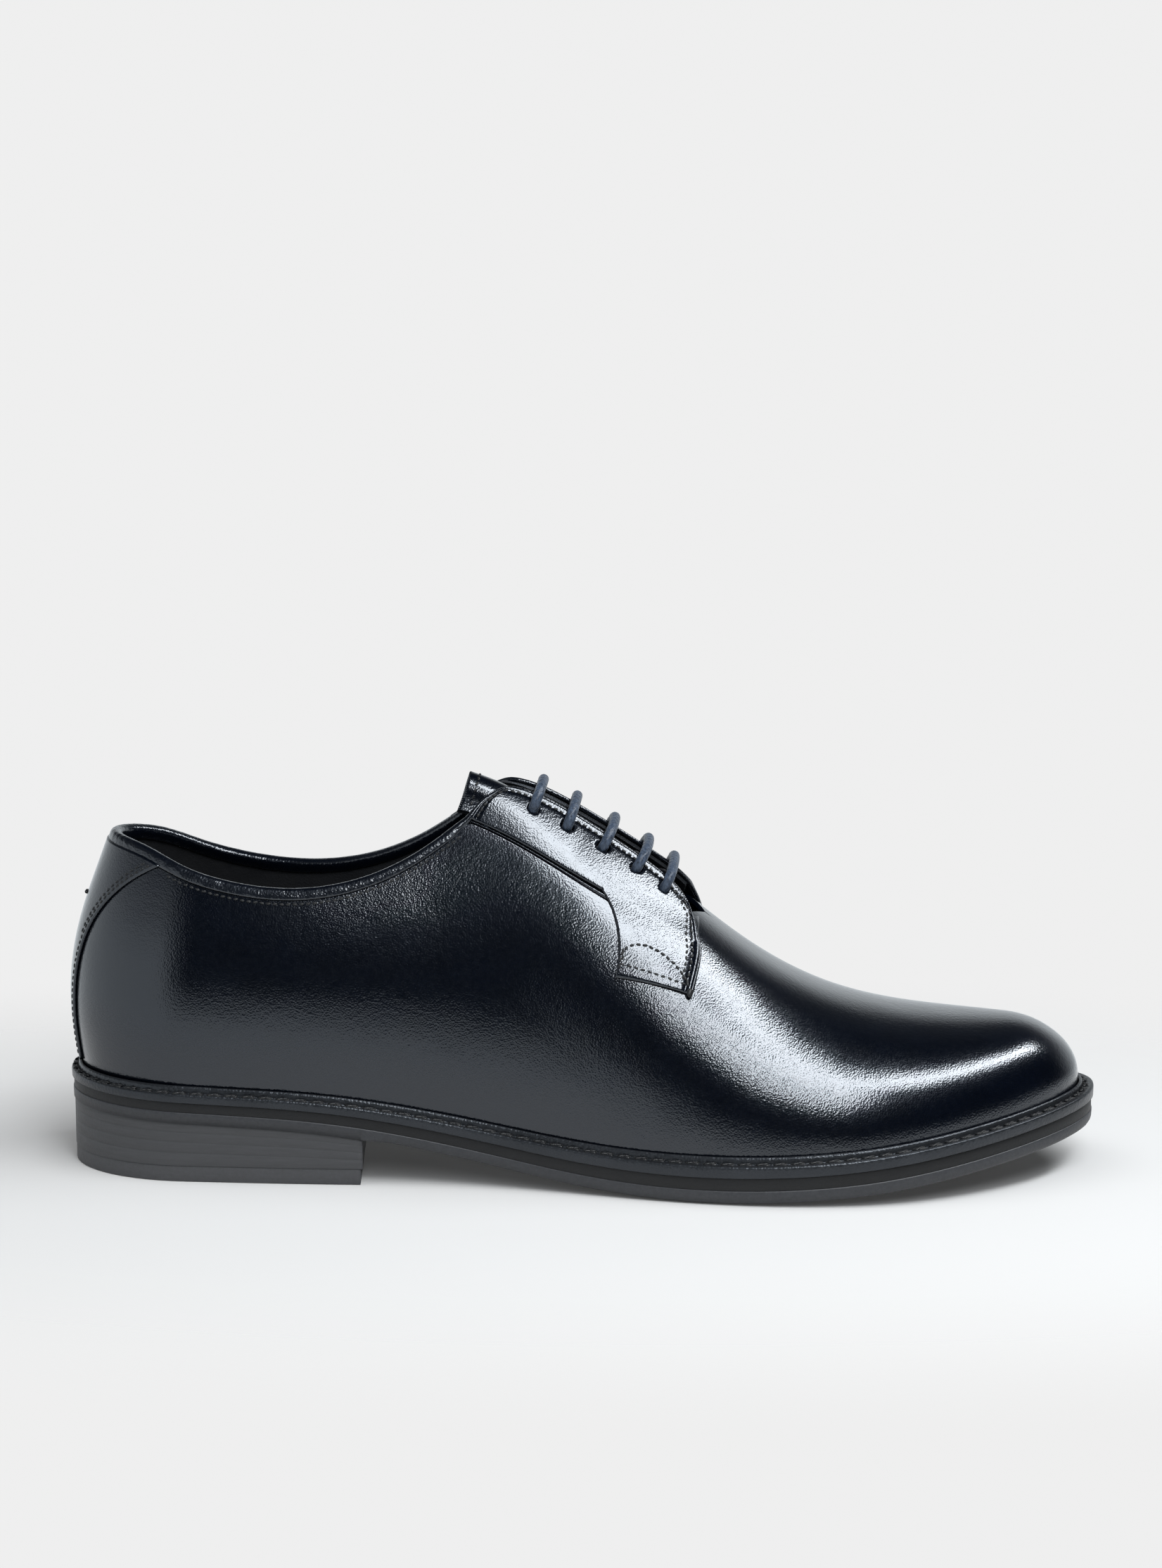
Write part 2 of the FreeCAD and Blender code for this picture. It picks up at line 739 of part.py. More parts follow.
def heel_top_piece():
    """The rubber piece that meets the ground, on a flat face at z = 0."""
    return heel_layer(constant_of(-1.0), constant_of(TOP_PIECE), HEEL_LENGTH - TIP_SETBACK)


# -------------------------------------------------------------------- the lace
LACE_RISE = 1.3                    # its centre over the facing, at an eyelet
LACE_EDGE_RISE = 3.3               # and at the facing's front edge
LACE_DROP = 0.5                    # its clearance under an eyelet
LACE_REST = 0.25                   # its clearance over the sock
ARC_SHARE = 0.45                   # part of the shorter run that an arc takes


def round_route(points, radius, name):
    """A tube along straight runs joined by tangent arcs."""
    edges = []
    radii = []
    start = points[0]
    count = len(points)
    for i in range(1, count - 1):
        a, b, c = points[i - 1], points[i], points[i + 1]
        back, ahead = a - b, c - b
        shorter = min(back.Length, ahead.Length)
        turn = math.pi - back.getAngle(ahead)
        reach = ARC_SHARE * shorter
        bend = reach / math.tan(turn / 2)
        radii.append(bend)
        back.normalize()
        ahead.normalize()
        p, q = b + back * reach, b + ahead * reach
        middle = back + ahead
        middle.normalize()
        centre = b + middle * math.hypot(reach, bend)
        mid = centre - middle * bend
        edges.append(Part.LineSegment(start, p).toShape())
        edges.append(Part.Arc(p, mid, q).toShape())
        start = q
    edges.append(Part.LineSegment(start, points[-1]).toShape())
    path = Part.Wire(edges)
    heading = points[1] - points[0]
    ring = Part.Wire([Part.Circle(points[0], heading, radius).toShape()])
    tube = path.makePipeShell([ring], True, True)
    print(name, "radii", " ".join("%.1f" % r for r in radii))
    print(name, "length %.1f" % path.Length, "least radius %.2f" % min(radii),
          "volume ratio %.4f" % (tube.Volume / (path.Length * math.pi * radius ** 2)))
    return tube


def lace_over(place, side, rise):
    """Point of the lace over a place (u, v) of the facing."""
    centre, normal = facing_frame(side, *place)
    return centre + normal * rise


def lace_under(k, side):
    """Point of the lace just under eyelet k."""
    centre, normal = facing_frame(side, *hole_place(k))
    depth = FACING_DEPTH + EYELET_GAP + EYELET_THICK + LACE_RADIUS + LACE_DROP
    return centre - normal * depth


def on_last(places, side):
    """Points from (station, lateral angle, level), mirrored for the medial side."""
    points = []
    for s, degrees, level in places:
        phi = math.radians(degrees if side < 0 else 180 - degrees)
        points.append(sheet_point(s, phi, level))
    return points


def on_sock(places):
    """Points from (station, y), on the sock lining."""
    points = []
    for s, y in places:
        floor = sole_height(s / LENGTH, 1.0) + SOCK_TOP
        points.append(V(s - LENGTH / 2, y, floor + LACE_RADIUS + LACE_REST))
    return points


# where the two ends are tucked away: under the facing, past the tongue's edge,
# down the lining and along the sock
TAIL_LATERAL = [(168, 112.8, -4.1), (156, 115.0, -3.9), (144, 116.5, -3.7), (133, 119.5, -5.2),
                (124, 127.0, -6.6), (116, 138.0, -7.0), (107, 150.0, -7.0), (97, 160.0, -7.4)]
TAIL_MEDIAL = [(131, 114.5, -3.9), (125.5, 121.5, -5.8), (117, 131.0, -7.0), (108, 142.0, -7.0),
               (99, 152.0, -7.0), (89, 161.0, -7.4)]
TAIL_LATERAL_SOCK = [(84, -17.0), (70, -14.0), (58, -15.0)]
TAIL_MEDIAL_SOCK = [(76, 15.0), (62, 12.5), (50, 13.5)]


def lace_route():
    """From one tucked end, up the five bars in turn, to the other end."""
    points = list(reversed(on_last(TAIL_LATERAL, -1) + on_sock(TAIL_LATERAL_SOCK)))
    side = -1
    for k in reversed(range(HOLES)):
        points += [lace_under(k, side), lace_over(hole_place(k), side, LACE_RISE)]
        points += [lace_over(bar_place(k), turn, LACE_EDGE_RISE) for turn in (side, -side)]
        points += [lace_over(hole_place(k), -side, LACE_RISE), lace_under(k, -side)]
        side = -side
    return points + on_last(TAIL_MEDIAL, 1) + on_sock(TAIL_MEDIAL_SOCK)


def aglets():
    """Hard tips on the lace's two ends."""
    points = lace_route()
    tips = []
    for end, before in ((points[0], points[1]), (points[-1], points[-2])):
        tips.append(Part.makeCylinder(AGLET_RADIUS, AGLET_LENGTH, end, end - before))
    return Part.makeCompound(tips)


def lace():
    return round_route(lace_route(), LACE_RADIUS, "lace")


# ------------------------------------------------------------------- the build
def build():
    pieces = {
        "vamp_quarters": vamp_quarters(),
        "backstay": backstay(),
        "topline_binding": topline_binding(),
        "tongue": tongue(),
        "tongue_lining": tongue_lining(),
        "tongue_root": tongue_root(),
        "quarter_lining": quarter_lining(),
        "vamp_lining": vamp_lining(),
        "heel_counter": heel_counter(),
        "toe_puff": toe_puff(),
        "outsole": outsole(),
        "midsole": midsole(),
        "welt": welt(),
        "welt_stitching": welt_stitching(),
        "shank": shank(),
        "cork_filler": cork_filler(),
        "insole": insole(),
        "sock_lining": sock_lining(),
        "heel_top_piece": heel_top_piece(),
        "heel_nails": Part.makeCompound(nails()),
        "lace": lace(),
        "aglets": aglets(),
    }
    for k in range(len(LIFT_SHARES) - 1):
        pieces["heel_lift_%d" % (k + 1)] = heel_lift(k)
    for side, name in ((-1, "lateral"), (1, "medial")):
        pieces["facing_" + name] = facing(side)
        pieces["facing_lining_" + name] = facing_lining(side)
        pieces["facing_tab_" + name] = facing_tab(side)
        pieces["eyelets_" + name] = eyelet_rings(side)
    return pieces


def main():
    os.makedirs("parts", exist_ok=True)
    for node, shape in build().items():
        box = shape.BoundBox
        print("%-22s solids %d valid %s volume %8.1f" % (
            node, len(shape.Solids), shape.isValid(), shape.Volume),
            "x %.1f..%.1f y %.1f..%.1f" % (box.XMin, box.XMax, box.YMin, box.YMax),
            "z %.2f..%.1f" % (box.ZMin, box.ZMax))
        shape.exportStep("parts/" + node + ".step")


main()
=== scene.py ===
"""Looks of the plain-toe derby shoe: leather, stitching, lace, welt, heel and lighting.

The formula for the last's surface is the part's own, so every visible sheet lies where
its CAD solid does.  It works in millimetres; meshes are made in metres.
"""
import bmesh
import bpy
import json
import math
import numpy as np
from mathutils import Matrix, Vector


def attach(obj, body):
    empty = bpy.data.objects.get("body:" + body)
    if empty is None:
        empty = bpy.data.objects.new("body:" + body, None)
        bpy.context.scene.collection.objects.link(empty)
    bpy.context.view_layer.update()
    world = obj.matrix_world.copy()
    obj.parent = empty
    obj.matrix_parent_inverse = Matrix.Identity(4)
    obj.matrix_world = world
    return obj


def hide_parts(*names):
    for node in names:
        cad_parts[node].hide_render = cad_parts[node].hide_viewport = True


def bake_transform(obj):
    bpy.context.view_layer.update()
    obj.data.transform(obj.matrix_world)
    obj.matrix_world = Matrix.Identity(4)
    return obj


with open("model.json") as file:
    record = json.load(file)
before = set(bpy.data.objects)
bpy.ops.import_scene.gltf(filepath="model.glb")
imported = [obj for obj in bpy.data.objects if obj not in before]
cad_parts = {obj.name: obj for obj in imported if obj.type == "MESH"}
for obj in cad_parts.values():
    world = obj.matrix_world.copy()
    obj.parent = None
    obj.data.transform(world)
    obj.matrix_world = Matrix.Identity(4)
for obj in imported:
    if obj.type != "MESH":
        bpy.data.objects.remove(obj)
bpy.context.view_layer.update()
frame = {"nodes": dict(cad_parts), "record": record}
MM = 0.001
SLOTS = {row["node"]: row["material_slot"] for row in frame["record"]["subparts"]}

# ---- dimensions
# lists hold values at even steps, from heel to toe or from low to high
LENGTH = 303.0
LATERAL_HALF = [31, 33.0, 34.0, 34.6, 34.2, 35.5, 41.0, 47.5, 51.8, 52.5, 49.5, 44.0, 38.0]
MEDIAL_HALF = [31, 33.0, 33.6, 31.0, 27.5, 28.5, 36.0, 45.5, 51.5, 53.0, 50.5, 45.0, 38.0]
SOLE_AXIS = [-0.8, -0.8, -0.8, -0.8, -0.8, -0.8, -0.8, -0.8, -0.6, 0.0, 1.0, 2.2, 3.2]
HEEL_ROUND, TOE_ROUND, EDGE_POWER = 0.125, 0.235, 2.17
SOLE_BOTTOM = [18.9, 17.9, 16.9, 15.6, 11.8, 6.6, 1.9, -0.2, 0.05, 1.6, 4.8, 8.8, 13.2]
SOLE_THICK = [8.7, 8.7, 8.9, 9.2, 9.6, 10.2, 10.9, 11.4, 11.4, 11.3, 11.2, 11.1, 11.0]
OUTSOLE_SHARE, MIDSOLE_SHARE = 0.36, 0.69
HEEL_LENGTH, BREAST_ANGLE, HEEL_INSET, TOP_PIECE = 87.7, 3.8, 0.8, 4.6
LIFT_SHARES = [1.0, 0.78, 0.55, 0.30, 0.0]
SEAT_END, BREAST_HALF = 0.3, 32.0  # where lifts stop following the sole; half width at the breast
CREST = [120, 120, 120, 120.5, 121, 117.5, 104, 84.5, 63, 50, 45.5, 44.3, 42]
SIDE_POWER = 2.3
TOP_POWER = [2.0, 2.0, 2.0, 2.0, 2.0, 2.05, 2.1, 2.1, 2.0, 2.1, 2.2, 2.3, 2.3]
BACK_CURVE = [0.0, -2.3, -2.8, -1.3, 2.2, 7.0, 11.5]
BACK_CURVE_HEIGHT, BACK_LEAN, BACK_REACH = 75.0, 0.15, 0.45
WALL_CURVE = [0.0, 0.06, 0.06, 0.0, -0.08, -0.18, -0.28]
WALL_CURVE_HEIGHT, WALL_END, WALL_FADE = 108.0, 0.62, 0.35
FEATHER_HEEL, FEATHER_TOE = 3.6, 4.9
LAST_HEEL_ROUND, LAST_TOE_ROUND, LAST_POWER = 0.13, 0.238, 2.2
TOE_TOP_ROUND, TOE_TOP_POWER = 0.075, 2.4
TOE_WALL, TOE_WALL_REACH, TOE_WALL_HEIGHT = 0.6, 0.12, 18.0
SEAT_GAP = 0.1
TOPLINE = [98.3, 96.4, 90.4, 86.9, 85.0, 85.3, 88.5, 95.0, 105.5]
TOPLINE_END, THROAT = 119.0, 188.0
BINDING_START, BINDING_END = 114.5, 120.5   # where it narrows into the facing's rolled edge
SEAM_ANGLE = [120.6, 122.3, 123.7, 124.6, 124.1, 121.8, 90.0]
BINDING, LEATHER = 3.0, 1.4
FACING_THICK, FACING_DEPTH = 1.3, 2.3
LACE_RADIUS, BRAID_STRANDS, BRAID_PITCH = 1.5, 4, 3.4
HOLES, HOLE_RADIUS = 5, 1.75
WELD = 0.003                       # points closer than this become one
FAR = 99.0                         # stands for a distance that does not count
LAST_BACK = FEATHER_HEEL
LAST_TIP = LENGTH - FEATHER_TOE
TIP_GAP = 0.02                     # sheets stop this short of the last's two ends
MID_Y, MID_Z = -0.8, 40.0          # a line through the middle of the shoe


# ---- the last's formula
def curve(values, t):
    """Clamped uniform cubic B-spline through the control values, t from 0 to 1."""
    c = np.asarray(values, float)
    c = np.concatenate(([2 * c[0] - c[1]], c, [2 * c[-1] - c[-2]]))
    x = np.clip(t, 0, 1) * (len(values) - 1)
    i = np.minimum(np.asarray(x).astype(int), len(values) - 2)
    r = x - i
    cubic = (1 - r) ** 3 * c[i] + (3 * r ** 3 - 6 * r * r + 4) * c[i + 1]
    return (cubic + (-3 * r ** 3 + 3 * r * r + 3 * r + 1) * c[i + 2] + r ** 3 * c[i + 3]) / 6


def round_end(distance, reach, power):
    """1 away from an end, falling to 0 on it along a superellipse."""
    inside = np.clip(1 - np.asarray(distance) / reach, 0, 1)
    return np.maximum(0, 1 - inside ** power) ** (1 / power)


def smooth(t):
    t = np.clip(t, 0, 1)
    return t * t * (3 - 2 * t)


def half_width(f, side):
    return np.where(side > 0, curve(MEDIAL_HALF, f), curve(LATERAL_HALF, f))


def sole_edge(f, side):
    ends = round_end(f, HEEL_ROUND, EDGE_POWER) * round_end(1 - f, TOE_ROUND, EDGE_POWER)
    return curve(SOLE_AXIS, f) + side * half_width(f, side) * ends


def sole_height(f, share):
    return curve(SOLE_BOTTOM, f) + share * curve(SOLE_THICK, f)


def feather_inset(f):
    return FEATHER_HEEL + (FEATHER_TOE - FEATHER_HEEL) * np.clip((f - 0.2) / 0.4, 0, 1)


def surface_point(s, phi):
    """The last at station s and section angle phi: 0 medial, 90 crest, 180 lateral."""
    s, phi = np.broadcast_arrays(np.asarray(s, float), np.asarray(phi, float))
    f = s / LENGTH
    u = (s - LAST_BACK) / (LAST_TIP - LAST_BACK)
    ends = round_end(u, LAST_HEEL_ROUND, LAST_POWER) * round_end(1 - u, LAST_TOE_ROUND, LAST_POWER)
    side = np.where(phi < math.pi / 2, 1.0, -1.0)
    half = (half_width(f, side) - feather_inset(f)) * ends
    base = sole_height(f, 1.0) + SEAT_GAP
    tall = (curve(CREST, f) - base) * round_end(1 - u, TOE_TOP_ROUND, TOE_TOP_POWER)
    height = tall * np.abs(np.sin(phi)) ** (2 / curve(TOP_POWER, f))
    across = np.abs(np.cos(phi)) ** (2 / SIDE_POWER)
    widen = 1 + smooth((WALL_END - u) / WALL_FADE) * curve(WALL_CURVE, height / WALL_CURVE_HEIGHT)
    t = height / BACK_CURVE_HEIGHT
    lean = curve(BACK_CURVE, t) + np.maximum(t - 1, 0) * BACK_CURVE_HEIGHT * BACK_LEAN
    shift = lean * np.maximum(0, 1 - u / BACK_REACH) ** 2
    near_toe = np.maximum(0, 1 - (1 - u) / TOE_WALL_REACH)
    wall = np.clip(height / TOE_WALL_HEIGHT, 0, 1)
    shift = shift + TOE_WALL * near_toe ** 2 * 4 * wall * (1 - wall)
    y = curve(SOLE_AXIS, f) + side * half * across * widen
    return np.stack([s + shift - LENGTH / 2, y, base + height], -1)


def unit(v):
    return v / np.maximum(np.linalg.norm(v, axis=-1, keepdims=True), 1e-12)


def surface_normal(s, phi):
    s, phi = np.broadcast_arrays(np.asarray(s, float), np.asarray(phi, float))
    room = np.minimum(s - LAST_BACK, LAST_TIP - s)
    at_end = room < TIP_GAP
    s = np.clip(s, LAST_BACK + TIP_GAP, LAST_TIP - TIP_GAP)
    ds = np.minimum(0.5, 0.3 * np.maximum(room, TIP_GAP))
    along = surface_point(s + ds, phi) - surface_point(s - ds, phi)
    low, high = np.maximum(phi - 0.015, 0), np.minimum(phi + 0.015, math.pi)
    n = np.cross(surface_point(s, high) - surface_point(s, low), along)
    n[..., 1] = np.where(at_end, 0, n[..., 1])
    return unit(n)


def sheet_point(s, phi, level):
    """A point at a level over (+) or inside (-) the last."""
    return surface_point(s, phi) + surface_normal(s, phi) * np.asarray(level)[..., None]


def angle_at_height(s, z):
    f = s / LENGTH
    base = sole_height(f, 1.0) + SEAT_GAP
    share = np.clip((z - base) / (curve(CREST, f) - base), 0, 1)
    return math.pi - np.arcsin(share ** (curve(TOP_POWER, f) / 2))


def top_angle(s, lower=0.0):
    """Lateral angle of the upper's top edge, lowered by a few millimetres."""
    t = (s - LAST_BACK) / (TOPLINE_END - LAST_BACK)
    behind = angle_at_height(s, curve(TOPLINE, t) - lower)
    t = (s - TOPLINE_END) / (THROAT - TOPLINE_END)
    step = lower / 40.0 * np.maximum(0, 1 - 8 * t)
    ahead = np.radians(curve(SEAM_ANGLE, t)) + step
    return np.where(s <= TOPLINE_END, behind, ahead)


def mirrored(phi, side):
    return phi if side < 0 else math.pi - phi


# ---- mesh helpers
class Net:
    """Collects grids of points, in millimetres, into one welded mesh."""

    def __init__(self):
        self.points, self.faces, self.count = [], [], 0

    def grid(self, points, keep=None):
        """Adds a grid as quads, all of them or the kept ones; returns its points' numbers."""
        n, m = points.shape[:2]
        index = self.count + np.arange(n * m).reshape(n, m)
        quads = np.stack([index[:-1, :-1], index[1:, :-1], index[1:, 1:], index[:-1, 1:]], -1)
        self.faces.append(quads.reshape(-1, 4) if keep is None else quads[keep])
        self.points.append(points.reshape(-1, 3))
        self.count += n * m
        return index

    def piece(self, name, slot):
        """The mesh as an object that wears its slot's material."""
        mesh = bpy.data.meshes.new(name)
        points = np.concatenate(self.points) * MM
        mesh.from_pydata(points.tolist(), [], np.concatenate(self.faces).tolist())
        bm = bmesh.new()
        bm.from_mesh(mesh)
        loose = [v for v in bm.verts if not v.link_faces]
        bmesh.ops.delete(bm, geom=loose, context="VERTS")
        bmesh.ops.remove_doubles(bm, verts=bm.verts, dist=WELD * MM)
        bmesh.ops.recalc_face_normals(bm, faces=bm.faces)
        bm.to_mesh(mesh)
        bm.free()
        mesh.polygons.foreach_set("use_smooth", [True] * len(mesh.polygons))
        mesh.materials.append(LOOKS[slot])
        piece = bpy.data.objects.new(name, mesh)
        bpy.context.collection.objects.link(piece)
        return piece


EDGE_STEPS = (0.0, 0.04, 0.16, 0.36, 0.65, 1.0)


def axis(count, length, radius, low=True, high=True, more=()):
    """Parameters from 0 to 1 with close rows along the rounded edges."""
    near = np.array([step * radius for step in EDGE_STEPS] + list(more)) / length
    start = near if low else np.array([0.0])
    end = near if high else np.array([0.0])
    middle = np.linspace(start[-1], 1 - end[-1], count + 1)
    return np.concatenate([start[:-1], middle, 1 - end[:-1][::-1]])


def edge_cap(distance, radius):
    """Half-thickness factor at a distance from a rounded edge."""
    return np.sqrt(np.maximum(0, 1 - (1 - np.clip(distance / radius, 0, 1)) ** 2))


def sheet(name, slot, patch, outer, inner, size, count, radius, free_v=True):
    """A sheet on the last with rounded free edges; patch(u, v) gives (s, phi)."""
    us = axis(count[0], size[0], radius)
    vs = axis(count[1], size[1], radius, free_v, free_v)
    u, v = np.meshgrid(us, vs, indexing="ij")
    distance = np.minimum(u, 1 - u) * size[0]
    if free_v:
        distance = np.minimum(distance, np.minimum(v, 1 - v) * size[1])
    cap = edge_cap(distance, radius)
    s, phi = patch(u, v)
    top, low = outer(u, v), inner(u, v)
    mid, half = (top + low) / 2, (top - low) / 2
    net = Net()
    front = sheet_point(s, phi, mid + half * cap)
    back = sheet_point(s, phi, mid - half * cap)
    net.grid(front)
    net.grid(back)
    for rim in ((front[0], back[0]), (front[-1], back[-1]),
                (front[:, 0], back[:, 0]), (front[:, -1], back[:, -1])):
        net.grid(np.stack(rim))
    return net.piece(name, slot)


# ---- materials
class Tree:
    """A node tree, with a short way to add a node and join it to others."""

    def __init__(self, owner):
        owner.use_nodes = True
        self.nodes, self.links = owner.node_tree.nodes, owner.node_tree.links

    def add(self, kind, output, sockets, **settings):
        """A new node's output; a socket takes a constant or another node's output."""
        node = self.nodes.new(kind)
        for key, value in settings.items():
            setattr(node, key, value)
        for key, value in sockets.items():
            if isinstance(value, bpy.types.NodeSocket):
                self.links.new(value, node.inputs[key])
            else:
                node.inputs[key].default_value = value
        return node.outputs[output]

    def place(self, stretch=(1, 1, 1)):
        """Object coordinates, stretched."""
        where = self.add("ShaderNodeTexCoord", "Object", {})
        return self.add("ShaderNodeMapping", "Vector", {"Scale": stretch, "Vector": where})

    def eased(self, value, low, high, first, last):
        """Maps low..high to first..last with soft ends."""
        return self.add("ShaderNodeMapRange", "Result",
                        {"Value": value, "From Min": low, "From Max": high, "To Min": first, "To Max": last},
                        interpolation_type="SMOOTHSTEP")


class Look(Tree):
    """A principled material."""

    def __init__(self, name, base, roughness, **sockets):
        self.material = bpy.data.materials.new(name)
        super().__init__(self.material)
        self.shader = self.nodes["Principled BSDF"]
        self.shader.inputs["Base Color"].default_value = (*base, 1)
        self.shader.inputs["Roughness"].default_value = roughness
        for key, value in sockets.items():
            self.shader.inputs[key.replace("_", " ")].default_value = value

    def join(self, output, *sockets):
        for socket in sockets:
            self.links.new(output, self.shader.inputs[socket])

    def noise(self, vector, scale, detail=2.0, roughness=0.5):
        return self.add("ShaderNodeTexNoise", "Fac", {"Vector": vector, "Scale": scale, "Detail": detail,
                                                      "Roughness": roughness})

    def bump(self, height, distance, below=None):
        sockets = {"Height": height, "Distance": distance, "Strength": 1.0}
        if below is not None:
            sockets["Normal"] = below
        return self.add("ShaderNodeBump", "Normal", sockets)

    def colours(self, value, low, high, first, second):
        """Colours the base from first to second as the value goes from low to high."""
        ramp = self.nodes.new("ShaderNodeValToRGB")
        for element, at, colour in zip(ramp.color_ramp.elements, (low, high), (first, second)):
            element.position = at
            element.color = (*colour, 1)
        self.links.new(value, ramp.inputs["Fac"])
        self.join(ramp.outputs["Color"], "Base Color")

    def gloss(self, value, low, high):
        """Maps 0..1 to a roughness from low to high."""
        self.join(self.add("ShaderNodeMapRange", "Result", {"Value": value, "To Min": low, "To Max": high}),
                  "Roughness")


def leather(name, base, light, roughness, grain=1900.0, depth=0.00003, waves=0.00018, coat=0.8):
    """Finished leather: fine grain, slow waves and a soft coat."""
    look = Look(name, base, roughness, Coat_Weight=coat, Coat_Roughness=0.09,
                Specular_Tint=(0.8, 0.88, 1.0, 1))
    where = look.place()
    fine = look.add("ShaderNodeTexVoronoi", "Distance", {"Vector": where, "Scale": grain})
    soft = look.noise(where, grain * 0.35, 3.0)
    look.colours(look.noise(where, 90.0, 3.0), 0.3, 0.75, base, light)
    look.gloss(soft, roughness - 0.05, roughness + 0.06)
    normal = look.bump(look.noise(where, 55.0, 1.0), waves)
    normal = look.bump(soft, depth * 1.3, normal)
    look.join(look.bump(fine, depth, normal), "Normal", "Coat Normal")
    return look.material


def edge_leather(name, base, light, roughness, lines):
    """Sole or heel edge: fine horizontal layers, waxed."""
    look = Look(name, base, roughness, Specular_IOR_Level=0.45)
    layers = look.noise(look.place((1, 1, lines)), 90.0, 3.0, 0.6)
    specks = look.noise(look.place(), 1500.0)
    look.colours(layers, 0.3, 0.7, base, light)
    look.gloss(specks, roughness - 0.08, roughness + 0.1)
    look.join(look.bump(specks, 0.00005, look.bump(layers, 0.00002)), "Normal")
    return look.material


def thread_material(name, base, light, roughness, scale=2600.0):
    """Twisted or braided thread with fine fibres."""
    look = Look(name, base, roughness, Sheen_Weight=0.08, Sheen_Roughness=0.4)
    fibre = look.noise(look.place((1, 1, 0.5)), scale, 4.0, 0.65)
    look.colours(fibre, 0.3, 0.72, base, light)
    look.join(look.bump(fibre, 0.00012), "Normal")
    return look.material


def speckled(name, base, light, roughness, scale, depth=0.0001, **sockets):
    """A plain solid with fine variation, for rubber, cork, board, canvas and metal."""
    look = Look(name, base, roughness, **sockets)
    grains = look.noise(look.place(), scale, 3.0, 0.6)
    look.colours(grains, 0.3, 0.7, base, light)
    look.join(look.bump(grains, depth), "Normal")
    return look.material


NAVY, NAVY_LIGHT = (0.0006, 0.0012, 0.0030), (0.0010, 0.0019, 0.0046)
LOOKS = {
    "upper_leather": leather("upper leather", NAVY, NAVY_LIGHT, 0.2),
    "binding_leather": leather("binding leather", NAVY, NAVY_LIGHT, 0.28, 1500.0, 0.00006, 0.0004),
    "lining_leather": leather("lining leather", (0.008, 0.008, 0.009), (0.014, 0.014, 0.015), 0.5,
                              2100.0, 0.00005, 0.0002, 0.0),
    "welt_leather": leather("welt leather", (0.006, 0.0065, 0.0075), (0.012, 0.013, 0.015), 0.36,
                            1300.0, 0.00008, 0.0001, 0.2),
    "sole_leather": edge_leather("midsole edge", (0.002, 0.0023, 0.003), (0.004, 0.0045, 0.0055),
                                 0.5, 9.0),
    "heel_leather": edge_leather("heel edge", (0.045, 0.046, 0.049), (0.053, 0.054, 0.058),
                                 0.48, 14.0),
    "sole_rubber": speckled("sole rubber", (0.024, 0.0255, 0.029), (0.033, 0.0345, 0.039), 0.46, 900.0),
    "heel_rubber": speckled("heel rubber", (0.046, 0.047, 0.05), (0.054, 0.055, 0.06), 0.52, 900.0),
    "thread": thread_material("thread", (0.0015, 0.0017, 0.0022), (0.006, 0.007, 0.009), 0.45),
    "lace_cotton": thread_material("lace cotton", (0.006, 0.011, 0.023), (0.06, 0.085, 0.13), 0.42, 1700.0),
    "aglet_plastic": speckled("aglet", (0.02, 0.028, 0.045), (0.03, 0.04, 0.06), 0.2, 500.0),
    "canvas": speckled("canvas", (0.5, 0.45, 0.38), (0.62, 0.57, 0.48), 0.9, 1600.0, 0.0003),
    "board": speckled("board", (0.4, 0.33, 0.24), (0.5, 0.42, 0.31), 0.9, 1200.0),
    "cork": speckled("cork", (0.3, 0.19, 0.1), (0.55, 0.38, 0.22), 0.9, 500.0, 0.0004),
    "insole_leather": speckled("insole", (0.4, 0.28, 0.17), (0.52, 0.38, 0.24), 0.7, 900.0),
    "steel": speckled("steel", (0.5, 0.5, 0.51), (0.62, 0.62, 0.63), 0.35, 700.0, 0.00005, Metallic=1.0),
    "brass": speckled("brass", (0.6, 0.44, 0.18), (0.72, 0.55, 0.25), 0.3, 700.0, 0.00004, Metallic=1.0),
    "eyelet_metal": speckled("eyelet", (0.02, 0.02, 0.025), (0.03, 0.03, 0.036), 0.35, 700.0, 0.00004),
}

for node, piece in frame["nodes"].items():
    for entry in piece.material_slots:
        entry.material = LOOKS[SLOTS[node]]


# ---- the upper
UPPER_HEIGHT = 95.0                # roughly, along the skin from the feather edge up
BACKSTAY_REACH = [5.0, 5.4, 5.8, 6.6, 9.0, 15.0, 25.0]
BACKSTAY_FOOT = math.pi - 0.03     # section angle of its lower edge


def lateral_to_medial(q, phi):
    """The lateral angle phi where q is below 0, and its mirror image above."""
    return np.where(q > 0, math.pi - phi, phi)


def quarter_patch(u, v):
    """Round the heel from the lateral side to the medial, feather to top edge."""
    q = 2 * u - 1
    s = LAST_BACK + (THROAT - LAST_BACK) * (1 - np.cos(math.pi * q)) / 2
    covered = BINDING * (1 - smooth((s - BINDING_START + 1.5) / 8.0))
    return s, lateral_to_medial(q, math.pi + (top_angle(s, covered) - math.pi) * v)


